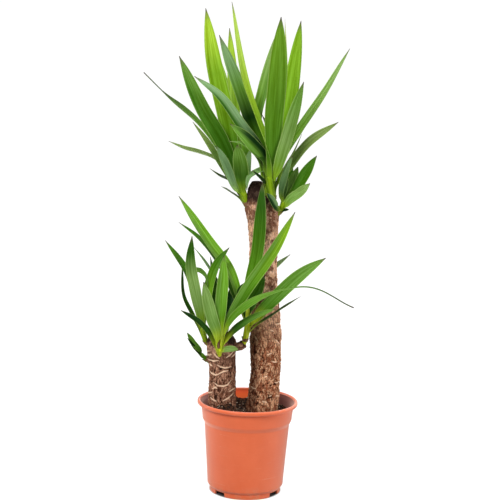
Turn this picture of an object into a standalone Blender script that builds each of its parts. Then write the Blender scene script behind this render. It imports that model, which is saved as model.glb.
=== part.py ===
"""A potted yucca: two woody canes in a terracotta-coloured plastic nursery pot, with eight leafy shoots.

Metres, +Z up. The origin is on the pot's axis, on the surface that the pot stands on.
The camera side of the plant is -Y. Sizes in the tables are whole millimetres.
"""

import math

import bmesh
import bpy
import numpy as np
from mathutils import Matrix, Vector

MM = 0.001
GAP = 0.3 * MM  # between neighbouring pieces that touch on the real plant

# Pot: a standard 17 cm nursery pot with a rolled lip, a collar and a foot ring
POT_HEIGHT = 155 * MM
LIP_RADIUS = 85 * MM
LIP_HEIGHT = 6.5 * MM
COLLAR_TOP_RADIUS = 78.5 * MM
COLLAR_LOW_RADIUS = 75 * MM
COLLAR_HEIGHT = 35 * MM  # lip included
BODY_TOP_RADIUS = 72.3 * MM
BODY_LOW_RADIUS = 64.3 * MM
BODY_LOW_Z = 12.5 * MM
FOOT_RADIUS = 60.5 * MM
FOOT_HEIGHT = 9 * MM
WALL = 2 * MM
FLOOR_TOP = 11 * MM
FLOOR_LOW = 8.5 * MM
POT_STEPS = 48
NOTCH_WIDTH = 24 * MM
NOTCH_HEIGHT = 7.5 * MM
NOTCH_DEPTH = 16 * MM  # of the block that cuts it, across the foot ring
NOTCH_TURNS = (55, 142, 228, 315)  # degrees round from the front
DRAIN_COUNT = 6
DRAIN_RADIUS = 4.5 * MM
DRAIN_SIDES = 12
DRAIN_CIRCLE = 42 * MM

# Soil
SOIL_TOP = 138 * MM
SOIL_MOUND = 1 * MM
SOIL_ROUGHNESS = 1.4 * MM  # height of the uneven top's two crossed waves
SOIL_WAVES = (0.23, 0.19)  # radians a millimetre, along x and along y
SOIL_STEPS = 32

# Canes: centre x, centre y, height and radius of each level in mm, from the buried end up
CANE_SIDES = 20
TALL_CANE = (
    (24, 7, 20, 25),
    (24, 7, 120, 27),
    (25, 7, 142, 28),
    (27, 7, 162, 27.5),
    (29, 7, 185, 26),
    (30, 7, 212, 25),
    (31, 7, 262, 25.5),
    (29, 7, 310, 25),
    (27.5, 7, 350, 24),
    (26, 7, 394, 23.5),
    (26, 7, 431, 23.5),
    (26.5, 7, 460, 25),
    (25, 7, 474, 26.5),
    (22, 7, 487, 25.5),
    (18.5, 7, 502, 21),
    (15.5, 7, 516, 14.5),
    (16, 7, 528, 8.5),
)
SHORT_CANE = (
    (-38, -7, 20, 20),
    (-42, -8, 120, 22),
    (-43, -8, 150, 24),
    (-43, -8, 175, 23.5),
    (-43, -8, 215, 22.5),
    (-43, -8, 240, 23.5),
    (-43, -8, 258, 23.5),
    (-43, -8, 268, 20),
    (-43, -8, 274, 14),
)
LEAN = 1.8  # degrees that the whole plant leans to the left, about the middle of the pot's rim
LUMP = 0.035  # how far a cane's outline strays from round, as a share of its radius

# Woody stub on the short cane that carries the right shoot: x, y, z and radius in mm
STUB = ((-34, -10, 250, 8), (-21, -12, 251, 7.2), (-11, -14, 254, 7.2), (-5.5, -15.2, 259, 7.4))

# Shoot stems: x, y, z and radius in mm. The first level is in the wood.
STEM_SIDES = 10
STEMS = {
    "shoot_crown_left": ((9, 4, 480, 5), (-1, 0, 490, 5.5), (-6, -1, 507, 6.5), (-10, -2, 526, 5.5)),
    "shoot_crown_right": ((31, 6, 478, 8), (39, 2, 500, 10), (36, -2, 520, 9.5), (32, -4, 544, 7)),
    "shoot_crown_side": ((40, 4, 465, 4), (53, 0, 477, 4.5), (59, -3, 489, 5), (62, -4, 499, 4)),
    "shoot_base_right": ((-8, -15, 255, 4.5), (-4, -16, 263, 5), (0, -19, 292, 5.5), (2, -25, 326, 4.5)),
    "shoot_base_back": ((-42, 4, 250, 5), (-40, 16, 262, 6), (-41, 22, 280, 6), (-42, 27, 296, 4)),
    "shoot_base_front": ((-46, -22, 238, 4), (-47, -33, 249, 4.5), (-47, -39, 262, 6), (-47, -44, 276, 5.5)),
    "shoot_base_left": ((-58, -8, 248, 4), (-69, -8, 257, 4), (-74, -10, 270, 4.5), (-76, -12, 286, 4.5)),
    "shoot_base_low_left": ((-59, -7, 222, 3), (-69, -8, 228, 4), (-74, -10, 235, 3), (-77, -12, 241, 2)),
}

# Leaves of each shoot, listed from the lowest root up. A row holds the leaf's name, its greatest width in mm,
# how far the blade is turned at its root and at its tip in degrees, and the places in mm that its midrib
# passes, tip last. Turned 0 the upper face looks to the front, 90 the blade stands on edge, and 180 the
# back is in front.
LEAVES = {
    "shoot_crown_left": (
        ("low_short", 10, 75, 85, (-31, -10, 514), (-43, -14, 522)),
        ("low_second", 10, 65, 75, (-31, -8, 532), (-47, -12, 540), (-62, -16, 552)),
        ("olive_flat", 15, 80, 62, (-57, 2, 568), (-80, 5, 577), (-106, 8, 584), (-131, 10, 595)),
        ("far_left", 18, 55, 80, (-43, 10, 572), (-81, 12, 625), (-130, -14, 670), (-165, -60, 709)),
        ("olive_narrow", 16, 50, 60, (-39, -8, 549), (-58, -16, 582), (-89, -28, 629)),
        ("grey_short", 18, 40, 45, (-24, -10, 526), (-35, -18, 555), (-51, -26, 590)),
        ("broad_left", 26, 25, 20, (-27, 0, 556), (-43, -4, 595), (-73, -10, 647), (-111, -12, 735)),
        ("back_left", 22, 40, 30, (-33, 25, 566), (-57, 60, 611), (-83, 88, 660)),
        ("dark_narrow", 9, 30, 40, (-24, 8, 544), (-31, 12, 569), (-33, 16, 597)),
        ("front_dark", 25, 165, 170, (-9, -16, 526), (-11, -32, 553), (-16, -54, 593)),
        ("back_straight", 22, 20, 20, (-8, 40, 536), (-6, 74, 572), (-8, 98, 606)),
        ("blue_upright", 14, 35, 30, (-1, 2, 528), (1, 6, 556), (5, 8, 582)),
        ("back_long", 24, 25, 20, (-16, 25, 554), (-32, 70, 644), (-46, 96, 703), (-54, 112, 745)),
        ("yellow_back", 24, 45, 35, (-18, 18, 555), (-24, 34, 646), (-27, 42, 712), (-30, 48, 781)),
        ("long_yellow", 29, 15, 10, (-20, 3, 556), (-39, 12, 650), (-54, 20, 714), (-69, 34, 813)),
    ),
    "shoot_crown_right": (
        ("low_dark", 10, 55, 60, (29, -8, 522), (23, -24, 535), (8, -30, 550)),
        ("drooping", 12, 50, 45, (28, -8, 549), (14, -18, 546), (3, -28, 538), (-1, -36, 518)),
        ("olive_right", 20, 45, 50, (73, 0, 557), (100, -8, 591), (149, -18, 628)),
        ("thin_right", 10, 80, 85, (64, 10, 555), (76, 14, 573), (91, 20, 607)),
        ("back_right", 14, 35, 40, (61, 25, 568), (90, 60, 612), (120, 88, 656)),
        ("edge_left", 16, 70, 75, (25, -12, 562), (11, -32, 577), (-11, -48, 595), (-30, -56, 599)),
        ("front_left", 24, 30, 35, (26, -12, 564), (2, -36, 598), (-28, -50, 627)),
        ("far_right", 20, 50, 60, (59, 6, 572), (94, 8, 624), (131, 6, 680), (168, 2, 747)),
        ("pale_right", 22, 25, 25, (53, -20, 561), (67, -34, 608), (78, -42, 649), (91, -46, 694)),
        ("back_middle_left", 20, 30, 25, (29, 28, 562), (12, 68, 604), (-3, 100, 651)),
        ("back_middle_right", 22, 25, 25, (53, 25, 563), (68, 60, 602), (79, 95, 663)),
        ("blue_left", 20, 35, 35, (24, -14, 574), (-9, -30, 621), (-48, -40, 674), (-85, -46, 703)),
        ("hooked", 8, 50, 50, (32, -8, 598), (30, -8, 624), (23, -12, 642)),
        ("yellow_right", 26, 15, 15, (52, 4, 581), (68, 8, 647), (77, 10, 712), (88, 10, 792)),
        ("back_long", 24, 15, 15, (41, 30, 562), (47, 75, 625), (51, 112, 697)),
        ("green_back", 20, 35, 30, (27, 14, 580), (17, 28, 633), (26, 34, 677), (49, 44, 774)),
        ("thin_upright", 14, 80, 86, (54, 16, 597), (65, 24, 646), (66, 32, 728), (62, 36, 796)),
        ("blue_upright", 24, 30, 20, (29, -4, 557), (7, -14, 623), (-12, -14, 678), (-46, 0, 769)),
        ("edge_upright", 20, 65, 70, (36, -16, 577), (17, -22, 632), (-5, -24, 698), (-25, -14, 822)),
        ("broad_front", 32, 170, 165, (40, -12, 557), (44, -40, 631), (50, -75, 713), (53, -112, 795)),
    ),
    "shoot_crown_side": (
        ("low_short", 7, 55, 60, (60, -8, 481), (69, -12, 483)),
        ("across_cane", 14, 40, 45, (49, -16, 486), (39, -22, 502), (31, -26, 512)),
        ("low_green", 18, 40, 35, (69, -12, 498), (85, -18, 510), (103, -24, 528)),
        ("broad_green", 22, 35, 40, (74, -8, 502), (91, -12, 533), (114, -18, 573)),
        ("back_green", 14, 30, 30, (63, 14, 503), (71, 34, 532), (76, 46, 553)),
        ("short_green", 18, 35, 30, (65, -2, 505), (77, 2, 532), (84, 4, 553)),
        ("short_narrow", 10, 40, 40, (60, -4, 505), (67, -8, 535)),
        ("dark_upright", 16, 50, 50, (57, -10, 506), (63, -22, 541), (74, -28, 573)),
    ),
    "shoot_base_right": (
        ("thin_low", 10, 75, 80, (8, -26, 284), (47, -36, 314), (88, -42, 343)),
        ("broad_right", 24, 30, 30, (14, -26, 301), (55, -36, 347), (93, -40, 382), (129, -42, 407)),
        ("under_left", 16, 60, 65, (-20, -2, 329), (-43, 12, 378), (-83, 20, 432), (-116, 22, 458)),
        ("long_left", 20, 40, 40, (-13, -8, 330), (-29, 6, 376), (-64, 16, 424), (-115, 14, 503)),
        ("small_left", 14, 45, 50, (-8, -18, 324), (-12, -14, 346), (0, -12, 363)),
        ("dark_short", 20, 25, 30, (7, -30, 326), (19, -36, 354), (29, -38, 377)),
        ("over_cane", 22, 20, 20, (2, -28, 351), (17, -32, 414), (23, -34, 484), (25, -28, 531)),
    ),
    "shoot_base_back": (
        ("behind_cane", 18, 55, 55, (-13, 40, 321), (25, 46, 359), (73, 44, 400)),
        ("back_left", 16, 30, 30, (-61, 45, 289), (-69, 65, 312), (-73, 84, 335)),
        ("back_right", 16, 30, 30, (-30, 45, 289), (-24, 65, 310), (-20, 80, 328)),
        ("back_long", 18, 15, 15, (-44, 50, 299), (-43, 80, 332), (-43, 104, 367)),
        ("thin_left", 12, 70, 75, (-50, 20, 351), (-65, 18, 380), (-90, 16, 416)),
        ("short_left", 16, 25, 25, (-50, 22, 304), (-54, 20, 332), (-59, 18, 377)),
        ("narrow_left", 12, 55, 55, (-54, 24, 342), (-61, 24, 381), (-63, 24, 399)),
        ("short_dark", 16, 30, 30, (-35, 28, 298), (-28, 30, 327), (-20, 32, 358)),
    ),
    "shoot_base_front": (
        ("low_right", 12, 45, 45, (-29, -52, 256), (-14, -60, 257)),
        ("low_left", 14, 55, 60, (-59, -50, 275), (-78, -57, 301), (-109, -60, 323)),
        ("dark_right", 16, 50, 60, (-25, -54, 284), (4, -64, 308), (47, -66, 327)),
        ("far_right", 16, 45, 88, (-29, -60, 303), (17, -76, 345), (84, -62, 362), (180, 20, 312)),
        ("grey_left", 20, 10, 15, (-50, -46, 274), (-59, -54, 311), (-68, -62, 354), (-71, -64, 371)),
        ("upright", 20, 10, 10, (-45, -44, 280), (-43, -50, 328), (-39, -54, 376), (-38, -54, 413)),
        ("across_cane", 20, 20, 20, (-32, -46, 299), (-3, -52, 352), (45, -56, 423), (78, -50, 484)),
    ),
    "shoot_base_left": (
        ("dark_left", 12, 65, 65, (-92, -2, 302), (-107, 0, 332), (-110, 4, 388)),
        ("far_left", 16, 40, 50, (-86, -10, 322), (-99, -14, 374), (-136, -20, 433)),
        ("back_short", 14, 30, 30, (-77, 16, 295), (-83, 38, 322), (-87, 55, 345)),
        ("arched", 12, 45, 45, (-87, 2, 354), (-83, -4, 381), (-71, -8, 373), (-66, -10, 353)),
        ("bright_right", 16, 45, 40, (-68, -8, 330), (-59, -8, 371), (-49, -10, 395), (-30, -12, 420)),
        ("blue_upright", 19, 10, 10, (-78, -20, 302), (-86, -28, 346), (-94, -32, 402), (-91, -30, 442)),
    ),
    "shoot_base_low_left": (
        ("lower", 8, 55, 60, (-80, -14, 239), (-90, -20, 253), (-100, -26, 269)),
        ("upper", 11, 40, 45, (-79, -13, 243), (-89, -17, 256), (-101, -20, 277)),
    ),
}
LOWEST_ROOT = 0.25  # where the lowest leaf leaves the stem, as a share of the stem outside the wood
HIGHEST_ROOT = 0.9
AXIS_PLACES = 40  # the stem's axis is read at this many places
CURVE_PLACES = 200  # a smooth curve is measured at this many places
RIB_THICK = 1.4 * MM
EDGE_THICK = 0.8 * MM
FOLD = 0.16  # how deep the blade's channel is, as a share of its half width
UNDERSIDE = (3, 4)  # which of the six sides of the blade's section face down
TIP_HALF_WIDTH = 1.0 * MM
NECK = 0.42  # width of the blade at its root, as a share of its greatest width
WIDEST = 0.46  # where along the blade it is widest
TAPER = 3  # power of the narrowing from the widest place to the tip: higher keeps it wide for longer
DRIED = {  # leaves whose outer part has dried to a thread, and the share of the length where the thread begins
    "shoot_crown_left_far_left": 0.85,
    "shoot_base_front_far_right": 0.5,
}
DRYING = 0.24  # share of the length over which such a leaf narrows
THREAD = 0.16  # width of the thread as a share of the greatest width
SEGMENT = 29 * MM  # length of one facet along a blade
FEWEST_SEGMENTS = 3
MOST_SEGMENTS = 9

COLOURS = {
    "pot": (0.75, 0.16, 0.06),
    "soil": (0.02, 0.015, 0.012),
    "cane_tall": (0.22, 0.10, 0.06),
    "cane_short": (0.12, 0.08, 0.06),
    "leaf": (0.16, 0.30, 0.05),
}


def clear_scene():
    for obj in list(bpy.data.objects):
        bpy.data.objects.remove(obj)


def collection(name):
    made = bpy.data.collections.new(name)
    bpy.context.scene.collection.children.link(made)
    return made


def material(name, colour, roughness):
    made = bpy.data.materials.new(name)
    made.use_nodes = True
    shader = made.node_tree.nodes["Principled BSDF"]
    shader.inputs["Base Color"].default_value = (*colour, 1)
    shader.inputs["Roughness"].default_value = roughness
    shader.inputs["Metallic"].default_value = 0
    return made


def new_object(name, points, faces, group):
    """A mesh object from points and faces, with its faces turned outwards."""
    mesh = bpy.data.meshes.new(name)
    mesh.from_pydata([tuple(p) for p in points], [], [tuple(int(i) for i in f) for f in faces])
    shape = bmesh.new()
    shape.from_mesh(mesh)
    bmesh.ops.recalc_face_normals(shape, faces=shape.faces)
    shape.to_mesh(mesh)
    shape.free()
    made = bpy.data.objects.new(name, mesh)
    group.objects.link(made)
    return made


def as_cutter(obj):
    obj.hide_render = True
    obj.display_type = "WIRE"
    return obj


def boolean(obj, other, operation):
    """Joins a mesh, or every mesh of a collection, to obj or cuts it away."""
    modifier = obj.modifiers.new(operation.lower(), "BOOLEAN")
    modifier.operation = operation
    if isinstance(other, bpy.types.Collection):
        modifier.operand_type = "COLLECTION"
        modifier.collection = other
    else:
        modifier.object = other
    return modifier


def apply_modifiers(obj):
    """Replaces obj's mesh with the one that its modifiers make."""
    bpy.context.view_layer.update()
    graph = bpy.context.evaluated_depsgraph_get()
    mesh = bpy.data.meshes.new_from_object(obj.evaluated_get(graph))
    obj.modifiers.clear()
    obj.data = mesh


def islands(shape):
    """The connected groups of faces of a bmesh."""
    left = set(shape.faces)
    found = []
    while left:
        reached = [left.pop()]
        for face in reached:
            for edge in face.edges:
                for other in edge.link_faces:
                    if other in left:
                        left.remove(other)
                        reached.append(other)
        found.append(reached)
    return found


def keep_outer_skin(mesh):
    """Fills the hollows that a union sealed and drops loose scraps, by keeping the largest skin."""
    shape = bmesh.new()
    shape.from_mesh(mesh)
    skins = sorted(islands(shape), key=lambda faces: sum(face.calc_area() for face in faces))
    for faces in skins[:-1]:
        bmesh.ops.delete(shape, geom=faces, context="FACES")
    shape.to_mesh(mesh)
    shape.free()


def finish(obj, look, angle=40):
    """One material, and smooth shading up to the given angle in degrees between faces."""
    obj.data.materials.clear()
    obj.data.materials.append(look)
    obj.data.shade_smooth()
    obj.data.set_sharp_from_angle(angle=math.radians(angle))


def turned(name, profile, steps, group):
    """A solid of revolution round Z from a profile of (radius, height) that runs down its outer side."""
    mesh = bpy.data.meshes.new(name)
    edges = [(i, i + 1) for i in range(len(profile) - 1)]
    mesh.from_pydata([(radius, 0, height) for radius, height in profile], edges, [])
    made = bpy.data.objects.new(name, mesh)
    group.objects.link(made)
    screw = made.modifiers.new("turn", "SCREW")
    screw.steps = steps
    screw.render_steps = steps
    screw.use_merge_vertices = True
    screw.merge_threshold = 0.00005
    return made


def rings(levels, grow=0.0, sides=CANE_SIDES, lump=0.0):
    """Points of level rings from (x, y, z, radius) rows in metres, strayed from round by slow waves."""
    turn = np.arange(sides) * 2 * math.pi / sides
    made = []
    for x, y, z, radius in levels:
        wave = np.sin(2 * turn + z * 31) + 0.6 * np.sin(3 * turn - z * 57)
        reach = radius * (1 + lump * wave) + grow
        made.append(np.stack([x + reach * np.cos(turn), y + reach * np.sin(turn), np.full(sides, z)], 1))
    return np.array(made)


def skin(levels):
    """Faces that close rings into a solid: triangles between rings, and a polygon on each end."""
    count, sides = levels.shape[:2]
    faces = [tuple(range(sides)), tuple(range((count - 1) * sides, count * sides))]
    for low in range(0, (count - 1) * sides, sides):
        high = low + sides
        for j in range(sides):
            k = (j + 1) % sides
            faces += [(low + j, low + k, high + k), (low + j, high + k, high + j)]
    return faces


def metres(rows):
    return [tuple(value * MM for value in row) for row in rows]


def smooth_path(points, count):
    """count evenly spaced places along a smooth curve through the points, made of cubic pieces."""
    points = np.array(points, float)
    spans = np.linalg.norm(np.diff(points, axis=0), axis=1)
    knots = np.concatenate([[0], np.cumsum(spans)])
    slopes = np.gradient(points, knots, axis=0)
    fine = np.linspace(0, knots[-1], CURVE_PLACES)
    i = np.clip(np.searchsorted(knots, fine, side="right") - 1, 0, len(spans) - 1)
    h = spans[i][:, None]
    u = ((fine - knots[i]) / spans[i])[:, None]
    curve = (
        (1 + 2 * u) * (1 - u) ** 2 * points[i]
        + u * (1 - u) ** 2 * h * slopes[i]
        + u**2 * (3 - 2 * u) * points[i + 1]
        + u**2 * (u - 1) * h * slopes[i + 1]
    )
    run = np.concatenate([[0], np.cumsum(np.linalg.norm(np.diff(curve, axis=0), axis=1))])
    places = np.linspace(0, run[-1], count)
    return np.stack([np.interp(places, run, curve[:, axis]) for axis in range(3)], 1)


def unit(vectors):
    return vectors / np.linalg.norm(vectors, axis=1, keepdims=True)


def tube(name, levels, sides, group, grow=0.0):
    """A round bar through (x, y, z, radius) rows in metres, its rings square to its path."""
    levels = np.array(levels)
    along = unit(np.gradient(levels[:, :3], axis=0))
    first = unit(np.cross(along, (0.0, 1.0, 0.0)))
    second = np.cross(along, first)
    turn = np.arange(sides) * 2 * math.pi / sides
    reach = levels[:, 3] + grow
    points = (
        levels[:, None, :3]
        + reach[:, None, None] * np.cos(turn)[None, :, None] * first[:, None, :]
        + reach[:, None, None] * np.sin(turn)[None, :, None] * second[:, None, :]
    )
    return new_object(name, points.reshape(-1, 3), skin(points), group)


def blade_width(along, thread_from):
    """Half width as a share of the greatest, from the neck at 0 through the widest place to the tip at 1."""
    rise = NECK + (1 - NECK) * np.sin(np.minimum(along / WIDEST, 1) * math.pi / 2)
    fall = 1 - (np.maximum(along - WIDEST, 0) / (1 - WIDEST)) ** TAPER
    dried = np.clip((along - thread_from) / DRYING + 1, 0, 1)
    return rise * fall * (1 - (1 - THREAD) * dried)


def blade(name, root, row, group):
    """One leaf: a folded blade of six-cornered sections carried along its midrib and turned about it."""
    width, turn_root, turn_tip = row[1] * MM, row[2], row[3]
    path = [root, *metres(row[4:])]
    length = sum(math.dist(a, b) for a, b in zip(path, path[1:]))
    count = int(np.clip(round(length / SEGMENT), FEWEST_SEGMENTS, MOST_SEGMENTS)) + 1
    rib = smooth_path(path, count)
    along = np.linspace(0, 1, count)
    tangent = unit(np.gradient(rib, axis=0))
    side = 1.0 if rib[-1, 0] >= rib[0, 0] else -1.0
    inward = unit(side * np.cross(tangent, (0.0, 1.0, 0.0)))
    front = side * np.cross(tangent, inward)
    turn = np.radians(turn_root + (turn_tip - turn_root) * along)[:, None]
    upper = np.cos(turn) * front + np.sin(turn) * inward
    across = np.cross(tangent, upper)
    half = np.maximum(blade_width(along, DRIED.get(name, 2)) * width / 2, TIP_HALF_WIDTH)
    lift = FOLD * half
    flat = np.zeros(count)
    corners = (
        (-half, lift + EDGE_THICK / 2),
        (flat, flat + RIB_THICK / 2),
        (half, lift + EDGE_THICK / 2),
        (half, lift - EDGE_THICK / 2),
        (flat, flat - RIB_THICK / 2),
        (-half, lift - EDGE_THICK / 2),
    )
    points = np.stack([rib + a[:, None] * across + b[:, None] * upper for a, b in corners], 1)
    return new_object(name, points.reshape(-1, 3), blade_faces(count), group)


def blade_faces(count):
    """Triangles between six-cornered rings, with the same diagonals on both faces, and two capped ends."""
    faces = []
    for a in range(0, 6 * (count - 1), 6):
        b = a + 6
        for j in range(6):
            k = (j + 1) % 6
            if j not in UNDERSIDE:
                faces += [(a + j, a + k, b + k), (a + j, b + k, b + j)]
            else:
                faces += [(a + j, a + k, b + j), (a + k, b + k, b + j)]
    for ring in (0, 6 * (count - 1)):
        faces += [(ring, ring + 1, ring + 4, ring + 5), (ring + 1, ring + 2, ring + 3, ring + 4)]
    return faces


def pot(group, cutters, look):
    lip_low = POT_HEIGHT - LIP_HEIGHT
    collar_low = POT_HEIGHT - COLLAR_HEIGHT
    profile = (
        (0, FLOOR_TOP),
        (BODY_LOW_RADIUS - 3 * WALL, FLOOR_TOP),
        (BODY_LOW_RADIUS - WALL, FLOOR_TOP + 2 * WALL),
        (BODY_TOP_RADIUS - WALL, collar_low - WALL),
        (COLLAR_LOW_RADIUS - WALL, collar_low + WALL),
        (COLLAR_TOP_RADIUS - WALL, lip_low),
        (COLLAR_TOP_RADIUS - WALL / 2, POT_HEIGHT - WALL),
        (COLLAR_TOP_RADIUS + WALL / 2, POT_HEIGHT),
        (LIP_RADIUS - WALL, POT_HEIGHT),
        (LIP_RADIUS, POT_HEIGHT - WALL),
        (LIP_RADIUS, lip_low + WALL / 2),
        (LIP_RADIUS - WALL / 2, lip_low),
        (COLLAR_TOP_RADIUS, lip_low),
        (COLLAR_LOW_RADIUS, collar_low),
        (BODY_TOP_RADIUS, collar_low - WALL),
        (BODY_LOW_RADIUS, BODY_LOW_Z),
        (BODY_LOW_RADIUS - WALL, FOOT_HEIGHT),
        (FOOT_RADIUS, FOOT_HEIGHT),
        (FOOT_RADIUS, 0),
        (FOOT_RADIUS - 1.5 * WALL, 0),
        (FOOT_RADIUS - 1.5 * WALL, FLOOR_LOW),
        (0, FLOOR_LOW),
    )
    body = turned("pot", profile, POT_STEPS, group)
    cuts = bpy.data.collections.new("pot_cuts")
    cutters.children.link(cuts)
    for number, degrees in enumerate(NOTCH_TURNS):
        notch_cutter(number, degrees, cuts)
    for number in range(DRAIN_COUNT):
        drain_cutter(number, cuts)
    boolean(body, cuts, "DIFFERENCE")
    finish(body, look)


def notch_cutter(number, degrees, cutters):
    """A block through the foot ring only, pointing outwards."""
    turn = math.radians(degrees - 90)
    bpy.ops.mesh.primitive_cube_add(size=1)
    block = bpy.context.object
    block.name = f"notch_{number + 1}"
    block.scale = (NOTCH_DEPTH, NOTCH_WIDTH, 2 * NOTCH_HEIGHT)
    block.location = (FOOT_RADIUS * math.cos(turn), FOOT_RADIUS * math.sin(turn), 0)
    block.rotation_euler = (0, 0, turn)
    move_to(block, cutters)
    return as_cutter(block)


def drain_cutter(number, cutters):
    turn = 2 * math.pi * (number + 0.5) / DRAIN_COUNT
    bpy.ops.mesh.primitive_cylinder_add(vertices=DRAIN_SIDES, radius=DRAIN_RADIUS, depth=20 * MM)
    drill = bpy.context.object
    drill.name = f"drain_{number + 1}"
    drill.location = (DRAIN_CIRCLE * math.cos(turn), DRAIN_CIRCLE * math.sin(turn), FLOOR_TOP)
    move_to(drill, cutters)
    return as_cutter(drill)


def move_to(obj, group):
    for owner in list(obj.users_collection):
        owner.objects.unlink(obj)
    group.objects.link(obj)


def soil(group, cutters, plant, look):
    """The filling of the pot, a little mounded and rough on top, with a plain hole for each cane."""
    collar_low = POT_HEIGHT - COLLAR_HEIGHT
    slope = (COLLAR_TOP_RADIUS - COLLAR_LOW_RADIUS) / (COLLAR_HEIGHT - LIP_HEIGHT)
    top_radius = COLLAR_LOW_RADIUS - WALL + slope * (SOIL_TOP - collar_low)
    profile = (
        (0, SOIL_TOP + SOIL_MOUND),
        (18 * MM, SOIL_TOP + SOIL_MOUND),
        (34 * MM, SOIL_TOP),
        (50 * MM, SOIL_TOP + SOIL_MOUND),
        (64 * MM, SOIL_TOP),
        (top_radius - 3 * GAP, SOIL_TOP - 2 * MM),
        (COLLAR_LOW_RADIUS - WALL - 2 * GAP, collar_low + WALL),
        (BODY_TOP_RADIUS - WALL - 2 * GAP, collar_low - WALL),
        (BODY_LOW_RADIUS - WALL - 2 * GAP, FLOOR_TOP + 2 * WALL),
        (BODY_LOW_RADIUS - 3 * WALL - GAP, FLOOR_TOP + GAP),
        (0, FLOOR_TOP + GAP),
    )
    filling = turned("soil", profile, SOIL_STEPS, group)
    apply_modifiers(filling)
    for vertex in filling.data.vertices:
        if vertex.co.z > SOIL_TOP - SOIL_MOUND:
            x, y = vertex.co.x / MM, vertex.co.y / MM
            vertex.co.z += SOIL_ROUGHNESS * math.sin(SOIL_WAVES[0] * x + 1) * math.cos(SOIL_WAVES[1] * y)
    for name, levels in (("hole_tall", TALL_CANE), ("hole_short", SHORT_CANE)):
        buried = [level for level in metres(levels) if level[2] < SOIL_TOP + 20 * MM]
        x, y, z, radius = buried[0]
        points = rings([(x, y, z - GAP, radius), *buried], grow=GAP, lump=LUMP)
        hole = new_object(name, points.reshape(-1, 3), skin(points), cutters)
        hole.parent = plant
        boolean(filling, as_cutter(hole), "DIFFERENCE")
    finish(filling, look, 60)


def leaning_base():
    """The empty that the canes and shoots hang on: it turns them about the middle of the pot's rim."""
    plant = bpy.data.objects.new("plant", None)
    bpy.context.scene.collection.objects.link(plant)
    rim = Matrix.Translation((0, 0, POT_HEIGHT))
    plant.matrix_world = rim @ Matrix.Rotation(math.radians(-LEAN), 4, "Y") @ rim.inverted()
    return plant


def cane(name, levels, group, plant, look):
    """A length of trunk: uneven rings, closed by a small dome at the top."""
    points = rings(metres(levels), lump=LUMP)
    trunk = new_object(name, points.reshape(-1, 3), skin(points), group)
    trunk.parent = plant
    finish(trunk, look, 50)
    return trunk


def socket(trunk, shoot_name, cutters):
    """The seat of a shoot's stem in the wood, one gap wider than the stem all round."""
    stem = metres(STEMS[shoot_name])
    seat = tube("socket_" + shoot_name, stem, STEM_SIDES, cutters, grow=GAP)
    back = Vector(stem[0][:3]) - Vector(stem[1][:3])
    seat.location = back.normalized() * GAP
    seat.parent = trunk.parent
    boolean(trunk, as_cutter(seat), "DIFFERENCE")


def shoot(name, group, plant, look):
    """A leafy shoot: a short stem and the leaves rooted on its axis, all in one solid."""
    stem = metres(STEMS[name])
    made = tube(name, stem, STEM_SIDES, group)
    axis = smooth_path([level[:3] for level in stem[1:]], AXIS_PLACES)
    rows = LEAVES[name]
    parts = collection(name + "_leaves")
    for number, row in enumerate(rows):
        share = LOWEST_ROOT + (HIGHEST_ROOT - LOWEST_ROOT) * number / (len(rows) - 1)
        blade(f"{name}_{row[0]}", axis[int(share * (AXIS_PLACES - 1))], row, parts)
    boolean(made, parts, "UNION").solver = "MANIFOLD"
    apply_modifiers(made)
    keep_outer_skin(made.data)
    for leaf in list(parts.objects):
        bpy.data.objects.remove(leaf)
    bpy.data.collections.remove(parts)
    made.parent = plant
    finish(made, look, 50)


def main():
    clear_scene()
    parts = collection("potted_yucca")
    cutters = collection("cutters")
    plant = leaning_base()
    pot(parts, cutters, material("terracotta_plastic", COLOURS["pot"], 0.45))
    soil(parts, cutters, plant, material("potting_soil", COLOURS["soil"], 0.95))
    tall = cane("cane_tall", TALL_CANE, parts, plant, material("tall_bark", COLOURS["cane_tall"], 0.9))
    short = cane("cane_short", SHORT_CANE, parts, plant, material("short_bark", COLOURS["cane_short"], 0.9))
    stub = tube("stub", metres(STUB), 12, cutters)
    stub.parent = plant
    boolean(short, as_cutter(stub), "UNION")
    for name in STEMS:
        socket(tall if "crown" in name else short, name, cutters)
    leaf = material("leaf", COLOURS["leaf"], 0.45)
    for name in STEMS:
        shoot(name, parts, plant, leaf)


main()
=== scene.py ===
# %% [markdown]
# # A potted yucca
# The real object is a young yucca sold as a house plant: two sawn lengths of woody trunk, a tall one and a
# short one, stand in a terracotta-coloured plastic nursery pot. Sword-shaped leaves sprout from eight
# places on the wood. The CAD model already holds every main form in the right place, so this script loads
# it as a fixed frame and then works out a finer surface for each of its solids: rolled plastic, crumbly
# soil, cracked bark and folded leaves.

# %% Load the fixed frame
import itertools
import math

import bpy
import numpy as np
from mathutils import Matrix, Vector


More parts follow.
